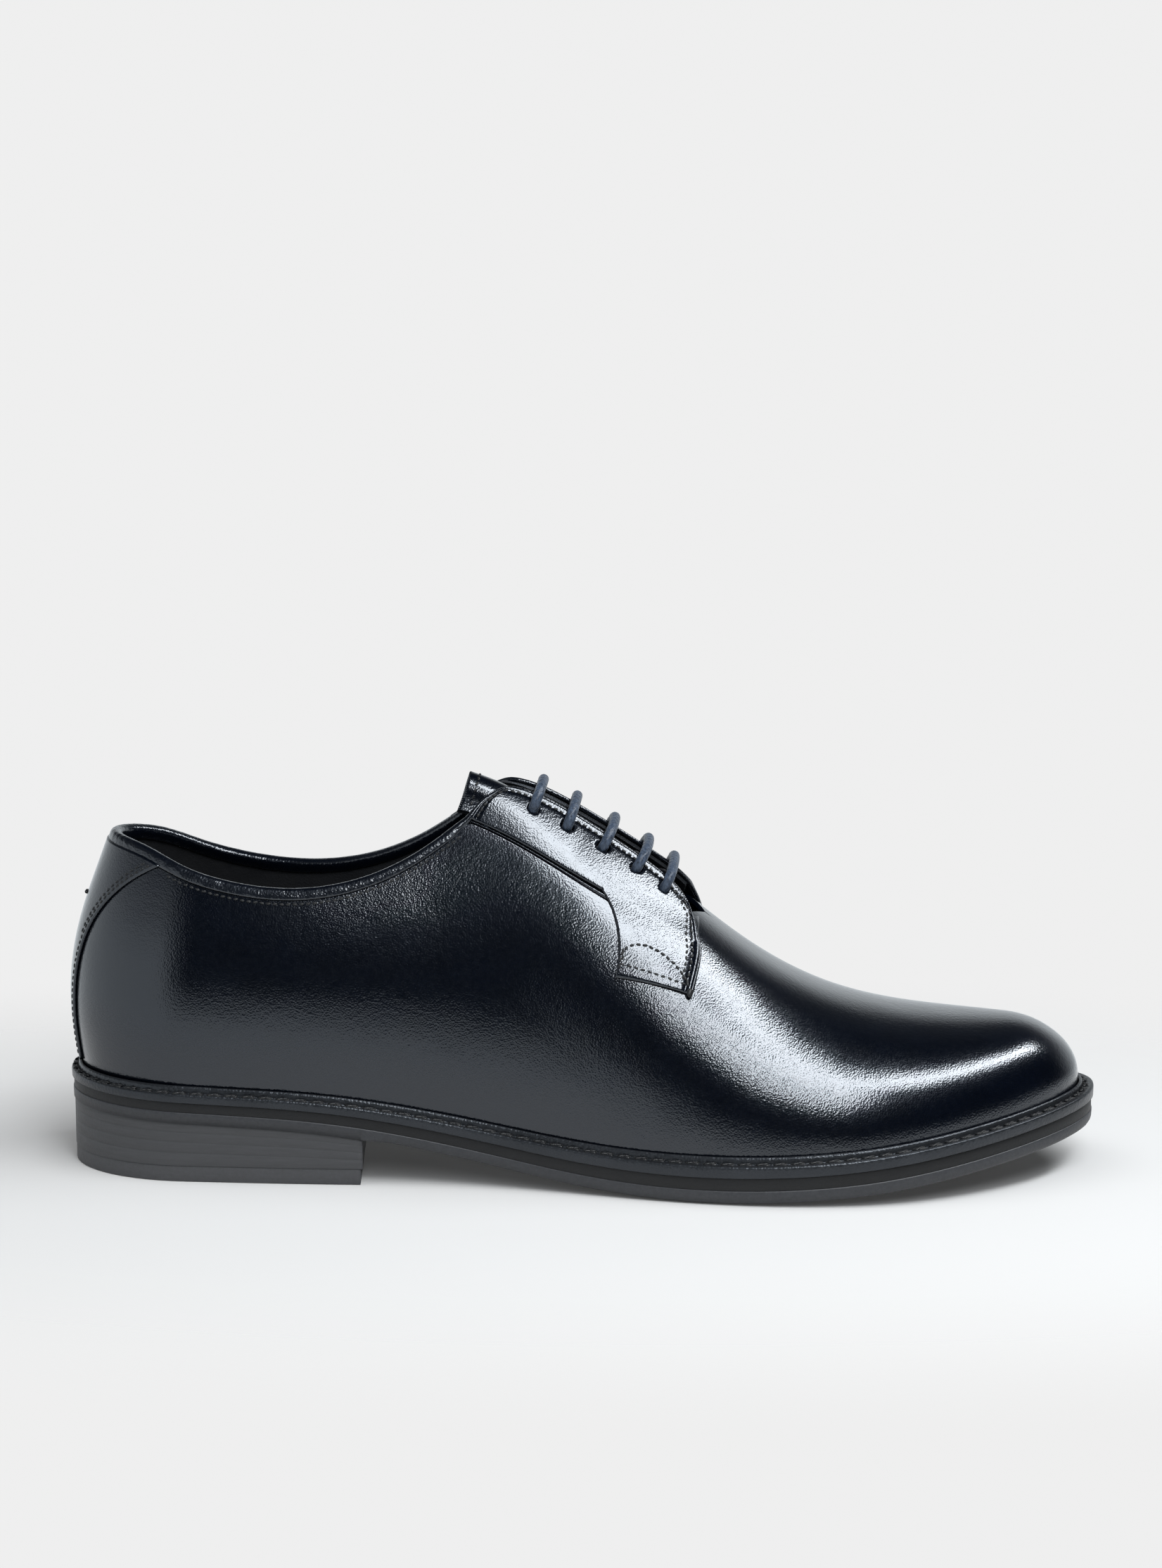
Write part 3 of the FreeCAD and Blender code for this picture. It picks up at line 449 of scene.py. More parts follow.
def upper():
    """Vamp and quarters as one skin with its inner face."""
    tall = axis(64, UPPER_HEIGHT, 0.6, low=False)
    net = Net()

    def both_faces(s, phi, cap):
        front = sheet_point(s, phi, -LEATHER / 2 + LEATHER / 2 * cap)
        back = sheet_point(s, phi, -LEATHER / 2 - LEATHER / 2 * cap)
        for part in (front, back, np.stack([front[:, 0], back[:, 0]])):
            net.grid(part)

    u, v = np.meshgrid(np.linspace(0, 1, 321), tall, indexing="ij")
    both_faces(*quarter_patch(u, v), edge_cap((1 - v) * UPPER_HEIGHT, 0.3))
    u, v = np.meshgrid(np.linspace(0, 1, 150), tall, indexing="ij")
    tip = LAST_TIP - TIP_GAP
    s = tip - (tip - THROAT) * (1 - u) ** 2
    cap = np.maximum(edge_cap((1 - v) * UPPER_HEIGHT, 0.3), edge_cap(s - THROAT, 0.6))
    for side in (-1, 1):
        both_faces(s, mirrored(math.pi - math.pi / 2 * v, side), cap)
    return net.piece("upper", "upper_leather")


def backstay():
    """The strip that covers the back seam, wider towards the topline."""
    def patch(u, v):
        q = 2 * u - 1
        s = LAST_BACK + (curve(BACKSTAY_REACH, v) - LAST_BACK) * q * q
        top = top_angle(s, BINDING - 0.4)
        return s, lateral_to_medial(q, BACKSTAY_FOOT + (top - BACKSTAY_FOOT) * v)
    return sheet("back_strip", "upper_leather", patch, lambda u, v: 1.0, lambda u, v: 0.05,
                 (30.0, 72.0), (40, 90), 0.45, free_v=False)


def topline_binding():
    """Leather rolled over the topline, with small gathers."""
    profile = [(0.1, 3.0), (0.42, 2.95), (0.55, 2.6), (0.62, 2.0), (0.66, 1.3), (0.6, 0.6), (0.35, 0.05),
               (-0.15, -0.32), (-0.8, -0.52), (-1.5, -0.56), (-2.2, -0.45), (-2.75, -0.1), (-3.0, 0.5),
               (-3.08, 1.4), (-3.05, 2.6), (-2.9, 3.1), (-1.6, 3.1)]
    q = np.linspace(-1, 1, 450)
    s = LAST_BACK + (BINDING_END - LAST_BACK) * q * q
    narrow = 1 - 0.7 * smooth((s - BINDING_START) / (BINDING_END - BINDING_START))
    rows = []
    for level, drop in profile:
        level, drop = -0.6 + (level + 0.6) * narrow, 1.2 + (drop - 1.2) * narrow
        gather = 0.07 * np.sin(q * 96 + 1.5 * np.sin(q * 31)) * np.sin(q * 41 + drop)
        phi = lateral_to_medial(q, top_angle(s, drop))
        rows.append(sheet_point(s, phi, level + gather * 0.8))
    rows.append(rows[0])
    net = Net()
    net.grid(np.stack(rows, 1))
    return net.piece("rolled_topline", "binding_leather")


# ---- facings and tongue
FACING_REAR = [(119.6, 119.6), (133.0, 121.4), (146.0, 122.6), (158.0, 122.4), (173.0, 120.1),
               (186.6, 117.5)]
FACING_FRONT = [(127.6, 104.5), (133.0, 100.6), (150.0, 100.2), (166.5, 100.2), (177.6, 101.2),
                (182.8, 108.5)]
TAB_REAR = [(158.6, 123.3), (161.2, 125.6), (163.2, 130.0), (164.2, 136.6), (163.2, 143.8)]
TAB_FRONT = [(186.9, 118.4), (187.0, 122.0), (186.4, 127.0), (185.6, 132.0), (184.7, 136.8)]
HALF_MOON = [(164.3, 141.4), (164.6, 135.4), (171.5, 130.0), (178.5, 130.0), (182.6, 132.4),
             (183.9, 135.2)]
TAB_START = 0.6                    # where the tab leaves the facing's rear seam
FACING_SIZE, BEAD_DEPTH = (75.0, 15.5), 0.62
EDGE_RADIUS = 0.62
# the rolled edge and the dip behind it: rise, distance from the edge, width
EDGE_ROLL = [(0.26, 0.9, 0.55), (-0.3, 2.1, 0.45)]
CLOSE_ROWS = (0.9, 1.25, 1.6, 2.0, 2.4, 2.9, 3.5)   # distances of the rows that shape it
TOP_CORNER, FRONT_CORNER = 10.0, 8.0
TAB_SIZE = (24.0, 17.0)


def line_point(points, t):
    """The (s, degrees) at t along a smooth line through the listed pairs."""
    return curve([p[0] for p in points], t), curve([p[1] for p in points], t)


def round_corners(u, v):
    """Draws the facing's rows in from its two front corners, which are rounded."""
    moved = u
    for radius, gap, sign in ((TOP_CORNER, u, 1), (FRONT_CORNER, 1 - u, -1)):
        inwards = np.clip(radius - (1 - v) * FACING_SIZE[1], 0, radius)
        dip = radius - np.sqrt(radius ** 2 - inwards ** 2)
        near = np.maximum(0, 1 - gap * FACING_SIZE[0] / (2 * radius))
        moved = moved + sign * dip * near / FACING_SIZE[0]
    return moved


def facing_place(u, q):
    """(s, degrees) on the facing for q >= 0 and on the tab below it for q < 0."""
    u = round_corners(u, np.maximum(q, 0))
    rear, front = line_point(FACING_REAR, u), line_point(FACING_FRONT, u)
    v, w = np.maximum(q, 0), np.maximum(-q, 0)
    across = np.clip((u - TAB_START) / (1 - TAB_START), 0, 1)
    corner, end = line_point(FACING_REAR, TAB_START), line_point(FACING_REAR, 1.0)
    result = []
    for k in (0, 1):
        back_line = curve([p[k] for p in TAB_REAR], w)
        back_line = back_line + (1 - w) * (corner[k] - TAB_REAR[0][k])
        front_line = curve([p[k] for p in TAB_FRONT], w)
        front_line = front_line + (1 - w) * (end[k] - TAB_FRONT[0][k])
        bow = rear[k] - ((1 - across) * corner[k] + across * end[k])
        tab = (1 - across) * back_line + across * front_line + (1 - w) * bow
        result.append(np.where(q >= 0, rear[k] + (front[k] - rear[k]) * v, tab))
    return result


def facing_lift(u, v):
    rear = 0.4 + 1.2 * np.maximum(0, u - 0.45) / 0.55
    return rear + curve([1.6, 2.2, 2.4, 3.1, 3.7, 2.8], u) * v ** 1.3


def facing_level(u, q):
    """Outer level of the facing and its tab."""
    settle = smooth(-q / 0.8)
    on_tab = facing_lift(u, 0.0 * u) * (1 - settle) + 1.55 * settle
    return np.where(q >= 0, facing_lift(u, np.maximum(q, 0)), on_tab)


def facing_edges(u, q):
    """Distances (to any free edge, to the rolled front and top edge), in millimetres."""
    v, w = np.maximum(q, 0), np.maximum(-q, 0)
    start, end = u * FACING_SIZE[0], (1 - u) * FACING_SIZE[0]
    end = np.where(q < 0, (1 - u) / (1 - TAB_START) * TAB_SIZE[0], end)
    front = np.where(q < 0, FAR, (1 - v) * FACING_SIZE[1])
    bottom = np.where(q < 0, (1 - w) * TAB_SIZE[1], FAR)
    past = (u - TAB_START) * FACING_SIZE[0]
    rear = np.where(u < TAB_START, v * FACING_SIZE[1], np.hypot(past, v * FACING_SIZE[1]))
    rear = np.where(q < 0, (u - TAB_START) / (1 - TAB_START) * TAB_SIZE[0], rear)
    outer = np.minimum(np.minimum(start, end), np.minimum(front, bottom))
    return np.minimum(outer, rear), np.minimum(np.minimum(start, end), front)


def facing_surface(side, u, q, inwards=0.0):
    s, degrees = facing_place(u, q)
    return sheet_point(s, mirrored(np.radians(degrees), side), facing_level(u, q) - inwards)


def hole_place(k):
    """(u, v) of a lace hole on the facing, counted from the top."""
    return 0.256 + 0.132 * k, 0.66 + 0.017 * k


def bar_place(k):
    """(u, v) where a bar of the lace crosses the facing's front edge."""
    return 0.246 + 0.128 * k, 1.0


def facing(side, name):
    """One facing with its tab, its lace holes open and its edge rolled."""
    step = np.array([x * EDGE_RADIUS for x in EDGE_STEPS] + list(CLOSE_ROWS))
    near = step / FACING_SIZE[0]
    tab_near = step / TAB_SIZE[0] * (1 - TAB_START)
    first = np.linspace(near[-1], TAB_START - 0.004, 66)
    second = np.linspace(TAB_START + tab_near[-1], 1 - tab_near[-1], 34)
    us = np.concatenate([near[:-1], first, TAB_START + tab_near[:-1], second, 1 - tab_near[:-1][::-1]])
    us = np.unique(np.round(us, 6))
    vs = axis(24, FACING_SIZE[1], EDGE_RADIUS, more=CLOSE_ROWS)
    ws = axis(26, TAB_SIZE[1], EDGE_RADIUS, low=False, more=CLOSE_ROWS)

    def faces_of(u, q):
        """The outer and the inner face over a grid."""
        s, degrees = facing_place(u, q)
        phi = mirrored(np.radians(degrees), side)
        any_edge, outer_edge = facing_edges(u, q)
        roll = sum(rise * np.exp(-((outer_edge - at) / width) ** 2) for rise, at, width in EDGE_ROLL)
        cap = edge_cap(any_edge, EDGE_RADIUS)
        half = FACING_THICK / 2
        mid = facing_level(u, q) - half
        return sheet_point(s, phi, mid + (half + roll) * cap), sheet_point(s, phi, mid - half * cap)

    u, v = np.meshgrid(us, vs, indexing="ij")
    keep = np.ones((len(us) - 1, len(vs) - 1), bool)
    centre_u, centre_v = (u[:-1, :-1] + u[1:, 1:]) / 2, (v[:-1, :-1] + v[1:, 1:]) / 2
    for k in range(HOLES):
        hu, hv = hole_place(k)
        away = np.hypot((centre_u - hu) * FACING_SIZE[0], (centre_v - hv) * FACING_SIZE[1])
        hole = away < HOLE_RADIUS
        keep &= ~hole
        touched = np.zeros(u.shape, bool)
        for a, b in ((0, 0), (1, 0), (0, 1), (1, 1)):
            touched[a:len(us) - 1 + a, b:len(vs) - 1 + b] |= hole
        du, dv = (u - hu) * FACING_SIZE[0], (v - hv) * FACING_SIZE[1]
        away = np.hypot(du, dv) + 1e-9
        rim = touched & (away > HOLE_RADIUS * 0.55)
        u = np.where(rim, hu + du / away * HOLE_RADIUS / FACING_SIZE[0], u)
        v = np.where(rim, hv + dv / away * HOLE_RADIUS / FACING_SIZE[1], v)
    net = Net()
    front, back = [net.grid(face, keep) for face in faces_of(u, v)]
    walls = []
    for i, j in np.argwhere(~keep):
        for di, dj, a, b in ((-1, 0, (0, 0), (0, 1)), (1, 0, (1, 0), (1, 1)),
                             (0, -1, (0, 0), (1, 0)), (0, 1, (0, 1), (1, 1))):
            if keep[i + di, j + dj]:
                p, q = (i + a[0], j + a[1]), (i + b[0], j + b[1])
                walls.append([front[p], front[q], back[q], back[p]])
    net.faces.append(np.array(walls))
    for face in faces_of(*np.meshgrid(us[us >= TAB_START - 1e-9], -ws, indexing="ij")):
        net.grid(face)
    return net.piece(name, "upper_leather")


def run_along(path):
    """The distance along a path to each of its points."""
    return np.concatenate([[0], np.cumsum(np.linalg.norm(np.diff(path, axis=0), axis=1))])


def walked(path, run, at):
    """The points at some distances along a path."""
    return np.stack([np.interp(at, run, path[:, k]) for k in range(3)], -1)


def evenly(path, spacing):
    """The path's points at even spacing, with their distances along it."""
    run = run_along(path)
    at = np.linspace(0, run[-1], int(run[-1] / spacing))
    return walked(path, run, at), at


def rings_about(path, side, angle, radius):
    """Rings of points round a path; side is a direction across its start."""
    first, second = cross_frame(path, side)
    ring = first[:, None] * np.cos(angle)[None, :, None] + second[:, None] * np.sin(angle)[None, :, None]
    return path[:, None] + ring * radius[..., None]


def facing_bead(side, name):
    """The rolled edge that carries the topline binding on round a facing."""
    s = np.linspace(BINDING_START - 2, BINDING_END - 1.6, 30)
    lead = sheet_point(s, mirrored(top_angle(s, 0.9), side), -0.7 + 0 * s)
    t = np.linspace(0.02, 1, 80)
    lines = [(0 * t, t), (np.linspace(0, 1, 300), np.ones(300)), (np.ones(80), 1 - t),
             (np.ones(80), -t * 0.97)]
    path = np.concatenate([lead] + [facing_surface(side, u, q, BEAD_DEPTH) for u, q in lines])
    path, at = evenly(path, 0.35)
    for _ in range(24):
        path[1:-1] = (path[:-2] + 2 * path[1:-1] + path[2:]) / 4
    radius = 0.72 + 0.55 * (1 - smooth((at - 4) / 12)) - 0.15 * smooth((at - 40) / 40)
    turn = np.linspace(0, 2 * math.pi, 14, endpoint=False)
    net = Net()
    tube(net, rings_about(path, np.array([0.0, 0.3 * side, 1.0]), turn, radius[:, None]))
    return net.piece(name, "binding_leather")


def seam_strip(side, name):
    """The raised seam in the groove between a facing and the quarter."""
    def patch(u, v):
        rear = line_point(FACING_REAR, u)
        s = rear[0] + 0.4 * (1 - u)
        quarter = np.degrees(top_angle(s))
        foot = np.minimum(quarter, rear[1] + 2.2)
        return s, mirrored(np.radians(rear[1] + (foot - rear[1]) * (0.1 + 0.8 * v)), side)

    def top(u, v):
        return -0.7 + 0.5 * np.sin(math.pi * v) ** 2 + facing_lift(u, 0 * u) * 0.4
    return sheet(name, "upper_leather", patch, top, lambda u, v: -1.3, (50.0, 1.8), (90, 10), 0.2)


TONGUE_HALF = [20.0, 21.0, 22.5, 23.5, 24.5, 25.0, 25.0]
TONGUE_TOP, TONGUE_SIDE, TONGUE_END, TONGUE_THICK = 119.0, -5.9, 191.0, 1.2


def tongue_place(u, v):
    """(s, phi) on the tongue; u runs from its root to its free end."""
    w = 2 * v - 1
    s = TONGUE_END + (TONGUE_TOP - TONGUE_END) * u - 3.4 * u ** 3 * w * w
    return s, np.radians(90 + curve(TONGUE_HALF, u) * w)


def tongue_level(u, v):
    w = np.abs(2 * v - 1)
    under_vamp = 3.9 * (1 - smooth(u / 0.16))
    arch = (3.7 * u + 0.6) * (1 - np.minimum(1, w / 0.75) ** 2)
    return TONGUE_SIDE + under_vamp + arch * smooth(u / 0.1)


def tongue():
    """The tongue, its free edge pinked."""
    def patch(u, v):
        s, phi = tongue_place(u, v)
        teeth = np.abs((v * 46) % 1 - 0.5) * 2
        return s + 0.7 * teeth * smooth((u - 0.985) / 0.015), phi
    return sheet("tongue_skin", "upper_leather", patch, tongue_level,
                 lambda u, v: tongue_level(u, v) - TONGUE_THICK, (75.0, 44.0), (70, 184), 0.3)


# ---- stitches and lace
def capsule(rings=7, around=7):
    """Unit stitch: length along x, width y, height z."""
    t = np.linspace(-1, 1, rings)
    a = np.linspace(0, 2 * math.pi, around, endpoint=False)
    radius = np.maximum(0, 1 - np.abs(t) ** 2.6) ** 0.5
    x = np.repeat(t[:, None], around, 1)
    y = radius[:, None] * np.cos(a)[None]
    z = radius[:, None] * np.sin(a)[None]
    points = np.stack([x, y, z], -1).reshape(-1, 3)
    faces = []
    for i in range(rings - 1):
        for j in range(around):
            k = (j + 1) % around
            faces.append([i * around + j, i * around + k, (i + 1) * around + k, (i + 1) * around + j])
    return points, np.array(faces)


def stitch_mesh(name, rows):
    """Stitches as one mesh; rows lists (centres, tangents, normals, length, width, height)."""
    shape, faces = capsule()
    net = Net()
    for centres, tangents, normals, length, width, height in rows:
        tangents = unit(tangents)
        normals = unit(normals - (normals * tangents).sum(-1, keepdims=True) * tangents)
        sideways = np.cross(normals, tangents)
        size = shape * np.array([length / 2, width / 2, height / 2])
        points = (centres[:, None] + size[None, :, :1] * tangents[:, None]
                  + size[None, :, 1:2] * sideways[:, None] + size[None, :, 2:] * normals[:, None])
        for group in points:
            net.points.append(group)
            net.faces.append(faces + net.count)
            net.count += len(group)
    return net.piece(name, "thread")


def spaced(path, pitch):
    """Centres and tangents every pitch along a dense path."""
    run = run_along(path)
    count = max(2, int(run[-1] / pitch))
    at = (np.arange(count) + 0.5) * run[-1] / count
    tangents = walked(path, run, at + 0.3) - walked(path, run, at - 0.3)
    return walked(path, run, at), tangents, at / run[-1]


def row_on(surface, a, b, pitch=1.9, length=1.45, width=0.74, height=0.55, sink=0.04, wobble=0.05):
    """A stitch row on surface(a, b) along the dense parameters a and b."""
    path = surface(a, b)
    centres, tangents, at = spaced(path, pitch)
    t = np.linspace(0, 1, len(a))
    pa, pb = np.interp(at, t, a), np.interp(at, t, b)
    e = 1e-3
    da, db = e * max(1.0, np.abs(a).max()), e
    normals = unit(np.cross(surface(pa + da, pb) - surface(pa - da, pb),
                            surface(pa, pb + db) - surface(pa, pb - db)))
    out = (centres - [0.0, MID_Y, MID_Z]) * [0, 1, 1]
    normals = normals * np.sign((normals * out).sum(-1, keepdims=True))
    sway = np.cross(normals, unit(tangents)) * (wobble * np.sin(np.arange(len(at)) * 2.4))[:, None]
    return centres - normals * sink + sway * 0.5, tangents + sway * 3, normals, length, width, height


def last_surface(level):
    """The surface at a level over the last, for row_on."""
    return lambda s, phi: sheet_point(s, phi, level + 0 * s)


def polyline(points, count=60):
    """Dense samples along the straight lines between (a, b) pairs."""
    a, b = [], []
    for (a0, b0), (a1, b1) in zip(points[:-1], points[1:]):
        t = np.linspace(0, 1, count)
        a.append(a0 + (a1 - a0) * t)
        b.append(b0 + (b1 - b0) * t)
    return np.concatenate(a), np.concatenate(b)


def facing_rows(side):
    """(rows on the flap, rows on the tab) of one facing."""
    def surface(u, q):
        return facing_surface(side, u, q, -0.05)

    inset, second = 2.1, 3.6
    du, dv = inset / FACING_SIZE[0], inset / FACING_SIZE[1]
    tab_u = 1 - inset / TAB_SIZE[0] * (1 - TAB_START)
    second_u = 1 - second / TAB_SIZE[0] * (1 - TAB_START)
    second_v = 1 - second / FACING_SIZE[1]
    flap = [row_on(surface, *polyline([(du, 0.06), (du, 0.72), (du + 0.035, 1 - dv), (0.5, 1 - dv),
                                       (0.93, 1 - dv), (tab_u, 1 - 1.7 * dv), (tab_u, 0.0)])),
            row_on(surface, *polyline([(0.82, 1 - dv * 1.15), (0.9, second_v), (second_u, 0.62),
                                       (second_u, 0.0)]))]
    bottom = -(1 - inset / TAB_SIZE[1])
    tab_rear = TAB_START + 1.5 / TAB_SIZE[0] * (1 - TAB_START)
    moon, degrees = line_point(HALF_MOON, np.linspace(0, 1, 200))
    tab = [row_on(surface, *polyline([(tab_u, -0.02), (tab_u, bottom)])),
           row_on(surface, *polyline([(second_u, -0.02), (second_u, bottom + 0.05)])),
           row_on(surface, *polyline([(tab_u, bottom), (tab_rear, bottom), (tab_rear, -0.72)])),
           row_on(last_surface(1.7), moon, mirrored(np.radians(degrees), side))]
    return flap, tab


def backstay_rows():
    """Two rows along each side of the backstay, the inner one only on its upper part."""
    rows = []
    for side in (-1, 1):
        for inside in (1.7, 3.1):
            v = np.linspace(0.02 if inside < 2 else 0.55, 0.985, 240)
            edge = curve(BACKSTAY_REACH, v)
            s = LAST_BACK + (edge - LAST_BACK) * (1 - inside / (14 + 18 * v ** 3)) ** 2
            phi = BACKSTAY_FOOT + (top_angle(s, BINDING) - BACKSTAY_FOOT) * v
            rows.append(row_on(last_surface(1.05), s, mirrored(phi, side)))
    return rows


def topline_rows():
    s = np.linspace(27.5, 117.5, 300)
    phi = top_angle(s, BINDING + 1.1)
    return [row_on(last_surface(0.05), s, mirrored(phi, side)) for side in (-1, 1)]


def tongue_rows():
    v = np.linspace(0.06, 0.94, 120)

    def surface(u, v):
        s, phi = tongue_place(u, v)
        return sheet_point(s, phi, tongue_level(u, v) + 0.04)
    return [row_on(surface, 0.955 + 0 * v, v)]


def tab_knot(side):
    """The bar tack at the tab's outer corner."""
    u, q = np.array([0.992]), np.array([-0.985])
    centre = facing_surface(side, u, q)
    ahead = facing_surface(side, u, q - 0.05) - centre
    out = centre - [0.0, MID_Y, MID_Z]
    return [(centre, ahead, out, 3.0, 2.0, 1.4)]


def back_knot():
    """The bar tack across the top of the back seam."""
    s = np.array([LAST_BACK + TIP_GAP])
    centre = sheet_point(s, angle_at_height(s, 79.0), np.array([1.3]))
    return [(centre, np.array([[0.0, 1.0, 0.0]]), np.array([[-1.0, 0.0, 0.0]]), 3.4, 1.3, 1.2)]


def facing_frame(side, u, v):
    """Outer point of a facing and the outward normal there."""
    u, v = np.atleast_1d(float(u)), np.atleast_1d(float(v))
    step = 0.01
    along = facing_surface(side, u + step, v) - facing_surface(side, u - step, v)
    across = facing_surface(side, u, np.minimum(v + step, 1)) - facing_surface(side, u, v - step)
    normal = unit(np.cross(along, across))[0]
    s, degrees = facing_place(u, v)
    outwards = surface_normal(s, mirrored(np.radians(degrees), side))[0]
    return facing_surface(side, u, v)[0], normal * (1 if normal @ outwards > 0 else -1)


TAIL_LATERAL = [(168, 112.8, -4.1), (156, 115.0, -3.9), (144, 116.5, -3.7), (133, 119.5, -5.2),
                (124, 127.0, -6.6), (116, 138.0, -7.0), (107, 150.0, -7.0), (97, 160.0, -7.4)]
TAIL_MEDIAL = [(131, 114.5, -3.9), (125.5, 121.5, -5.8), (117, 131.0, -7.0), (108, 142.0, -7.0),
               (99, 152.0, -7.0), (89, 161.0, -7.4)]
TAIL_LATERAL_SOCK = [(84, -17.0), (70, -14.0), (58, -15.0)]
TAIL_MEDIAL_SOCK = [(76, 15.0), (62, 12.5), (50, 13.5)]
SOCK_TOP = 3.6                     # of the heel sock over the sole layers
EYELET_GAP, EYELET_THICK = 0.4, 0.5


def lace_over(place, side, rise):
    """A point of the route above a facing."""
    centre, normal = facing_frame(side, *place)
    return centre + normal * rise


def lace_under(k, side):
    """The point of the route under a hole, clear of the eyelet ring."""
    centre, normal = facing_frame(side, *hole_place(k))
    return centre - normal * (FACING_DEPTH + EYELET_GAP + EYELET_THICK + LACE_RADIUS + 0.5)


def on_last(places, side):
    return [sheet_point(s, mirrored(math.radians(degrees), side), level) for s, degrees, level in places]


def on_sock(places):
    return [np.array([s - LENGTH / 2, y, sole_height(s / LENGTH, 1.0) + SOCK_TOP + LACE_RADIUS + 0.25])
            for s, y in places]


def lace_route():
    """Control points, with the indices where the first bar starts and the last ends."""
    points = list(reversed(on_last(TAIL_LATERAL, -1) + on_sock(TAIL_LATERAL_SOCK)))
    first = len(points)
    side = -1
    for k in reversed(range(HOLES)):
        points += [lace_under(k, side), lace_over(hole_place(k), side, 1.3)]
        points += [lace_over(bar_place(k), turn, 3.3) for turn in (side, -side)]
        points += [lace_over(hole_place(k), -side, 1.3), lace_under(k, -side)]
        side = -side
    last = len(points) - 1
    return points + on_last(TAIL_MEDIAL, 1) + on_sock(TAIL_MEDIAL_SOCK), first, last


def spline_path(points, spacing):
    """Evenly spaced points of the curve with these control points, and their distances."""
    data = bpy.data.curves.new("route", "CURVE")
    data.dimensions = "3D"
    spline = data.splines.new("NURBS")
    spline.points.add(len(points) - 1)
    for control, p in zip(spline.points, points):
        control.co = (*(np.asarray(p) * MM), 1)
    spline.order_u = 3
    spline.use_endpoint_u = True
    spline.resolution_u = 24
    holder = bpy.data.objects.new("route", data)
    bpy.context.collection.objects.link(holder)
    read = bpy.data.meshes.new_from_object(holder)
    path = np.array([v.co[:] for v in read.vertices]) / MM
    bpy.data.objects.remove(holder)
    bpy.data.meshes.remove(read)
    return evenly(path, spacing)


def cross_frame(path, side):
    """Two unit vectors across a path at each of its points, without twist."""
    tangents = unit(np.gradient(path, axis=0))
    frames = []
    for t in tangents:
        side = side - (side @ t) * t
        side = side / np.linalg.norm(side)
        frames.append(side)
    first = np.array(frames)
    return first, np.cross(tangents, first)


def braided(path, at):
    """Rings of a round braid about the path."""
    angle = np.linspace(0, 2 * math.pi, 28, endpoint=False)
    turn = angle[None] * BRAID_STRANDS
    run = (at * 2 * math.pi / BRAID_PITCH)[:, None]
    strands = np.maximum(np.cos(turn + run), np.cos(turn - run))
    radius = LACE_RADIUS * (0.955 + 0.07 * strands)
    return rings_about(path, np.array([0.0, 0.3, 1.0]), angle, radius)


def tube(net, rings):
    """Adds a closed tube with flat ends."""
    closed = np.concatenate([rings, rings[:, :1]], 1)
    net.grid(closed)
    for end in (rings[0], rings[-1]):
        middle = np.repeat(end.mean(0)[None], len(end) + 1, 0)
        net.grid(np.stack([np.concatenate([end, end[:1]]), middle]))


def lace():
    """The lace as two tails and two halves that meet over the tongue."""
    points, first, last = lace_route()
    path, at = spline_path(points, 0.32)
    start = np.argmin(np.linalg.norm(path - points[first], axis=1))
    end = np.argmin(np.linalg.norm(path - points[last], axis=1))
    rings = braided(path, at)
    names = ("lace_tail_lateral", "lace_lateral", "lace_medial", "lace_tail_medial")
    nets = {name: Net() for name in names}
    label = np.where(path[:, 1] < MID_Y, 1, 2)
    label[:start] = 0
    label[end:] = 3
    cuts = [0] + list(np.nonzero(np.diff(label))[0] + 1) + [len(path) - 1]
    for a, b in zip(cuts[:-1], cuts[1:]):
        tube(nets[names[label[a]]], rings[a:b + 1])
    return {name: net.piece(name, "lace_cotton") for name, net in nets.items()}


# ---- the sole and the heel
def outline(side, t, inset):
    """Points (x, y) of the sole's outline, moved inwards; t runs from heel to toe."""
    def edge(turn):
        f = (1 - np.cos(turn)) / 2
        which = np.where(np.sin(turn) >= -1e-12, side, -side)
        return f * LENGTH - LENGTH / 2, sole_edge(f, which)

    turn = math.pi * t
    x0, y0 = edge(turn - 0.01)
    x1, y1 = edge(turn + 0.01)
    reach = np.hypot(x1 - x0, y1 - y0)
    x, y = edge(turn)
    return x - side * inset * (y0 - y1) / reach, y - side * inset * (x1 - x0) / reach


def rows_of(side, t, section):
    """Grid (t, row, xyz) for a section of (inset(f), height(f)) pairs."""
    f = (1 - np.cos(math.pi * t)) / 2
    rows = []
    for inset, height in section:
        x, y = outline(side, t, inset(f))
        rows.append(np.stack([x, y, height(np.clip(x / LENGTH + 0.5, 0, 1))], -1))
    return np.stack(rows, 1)


def share(value, extra=0.0):
    return lambda f: sole_height(f, value) + extra


def edge_in(value):
    return lambda f: value + 0 * f


def from_feather(distance):
    return lambda f: feather_inset(f) - distance


def corner(inset, height, extra=0.0):
    """A section point at an inset, at a share of the sole's thickness."""
    return edge_in(inset), share(height, extra)


def ridge(distance, extra):
    """A section point near the feather edge, at a height over the welt."""
    return from_feather(distance), share(1.0, extra)


def ring_band(name, section, slot):
    """A closed band right round the sole's outline."""
    t = np.linspace(0, 1, 521)
    net = Net()
    for side in (-1, 1):
        rows = rows_of(side, t, section)
        net.grid(np.concatenate([rows, rows[:, :1]], 1))
    return net.piece(name, slot)


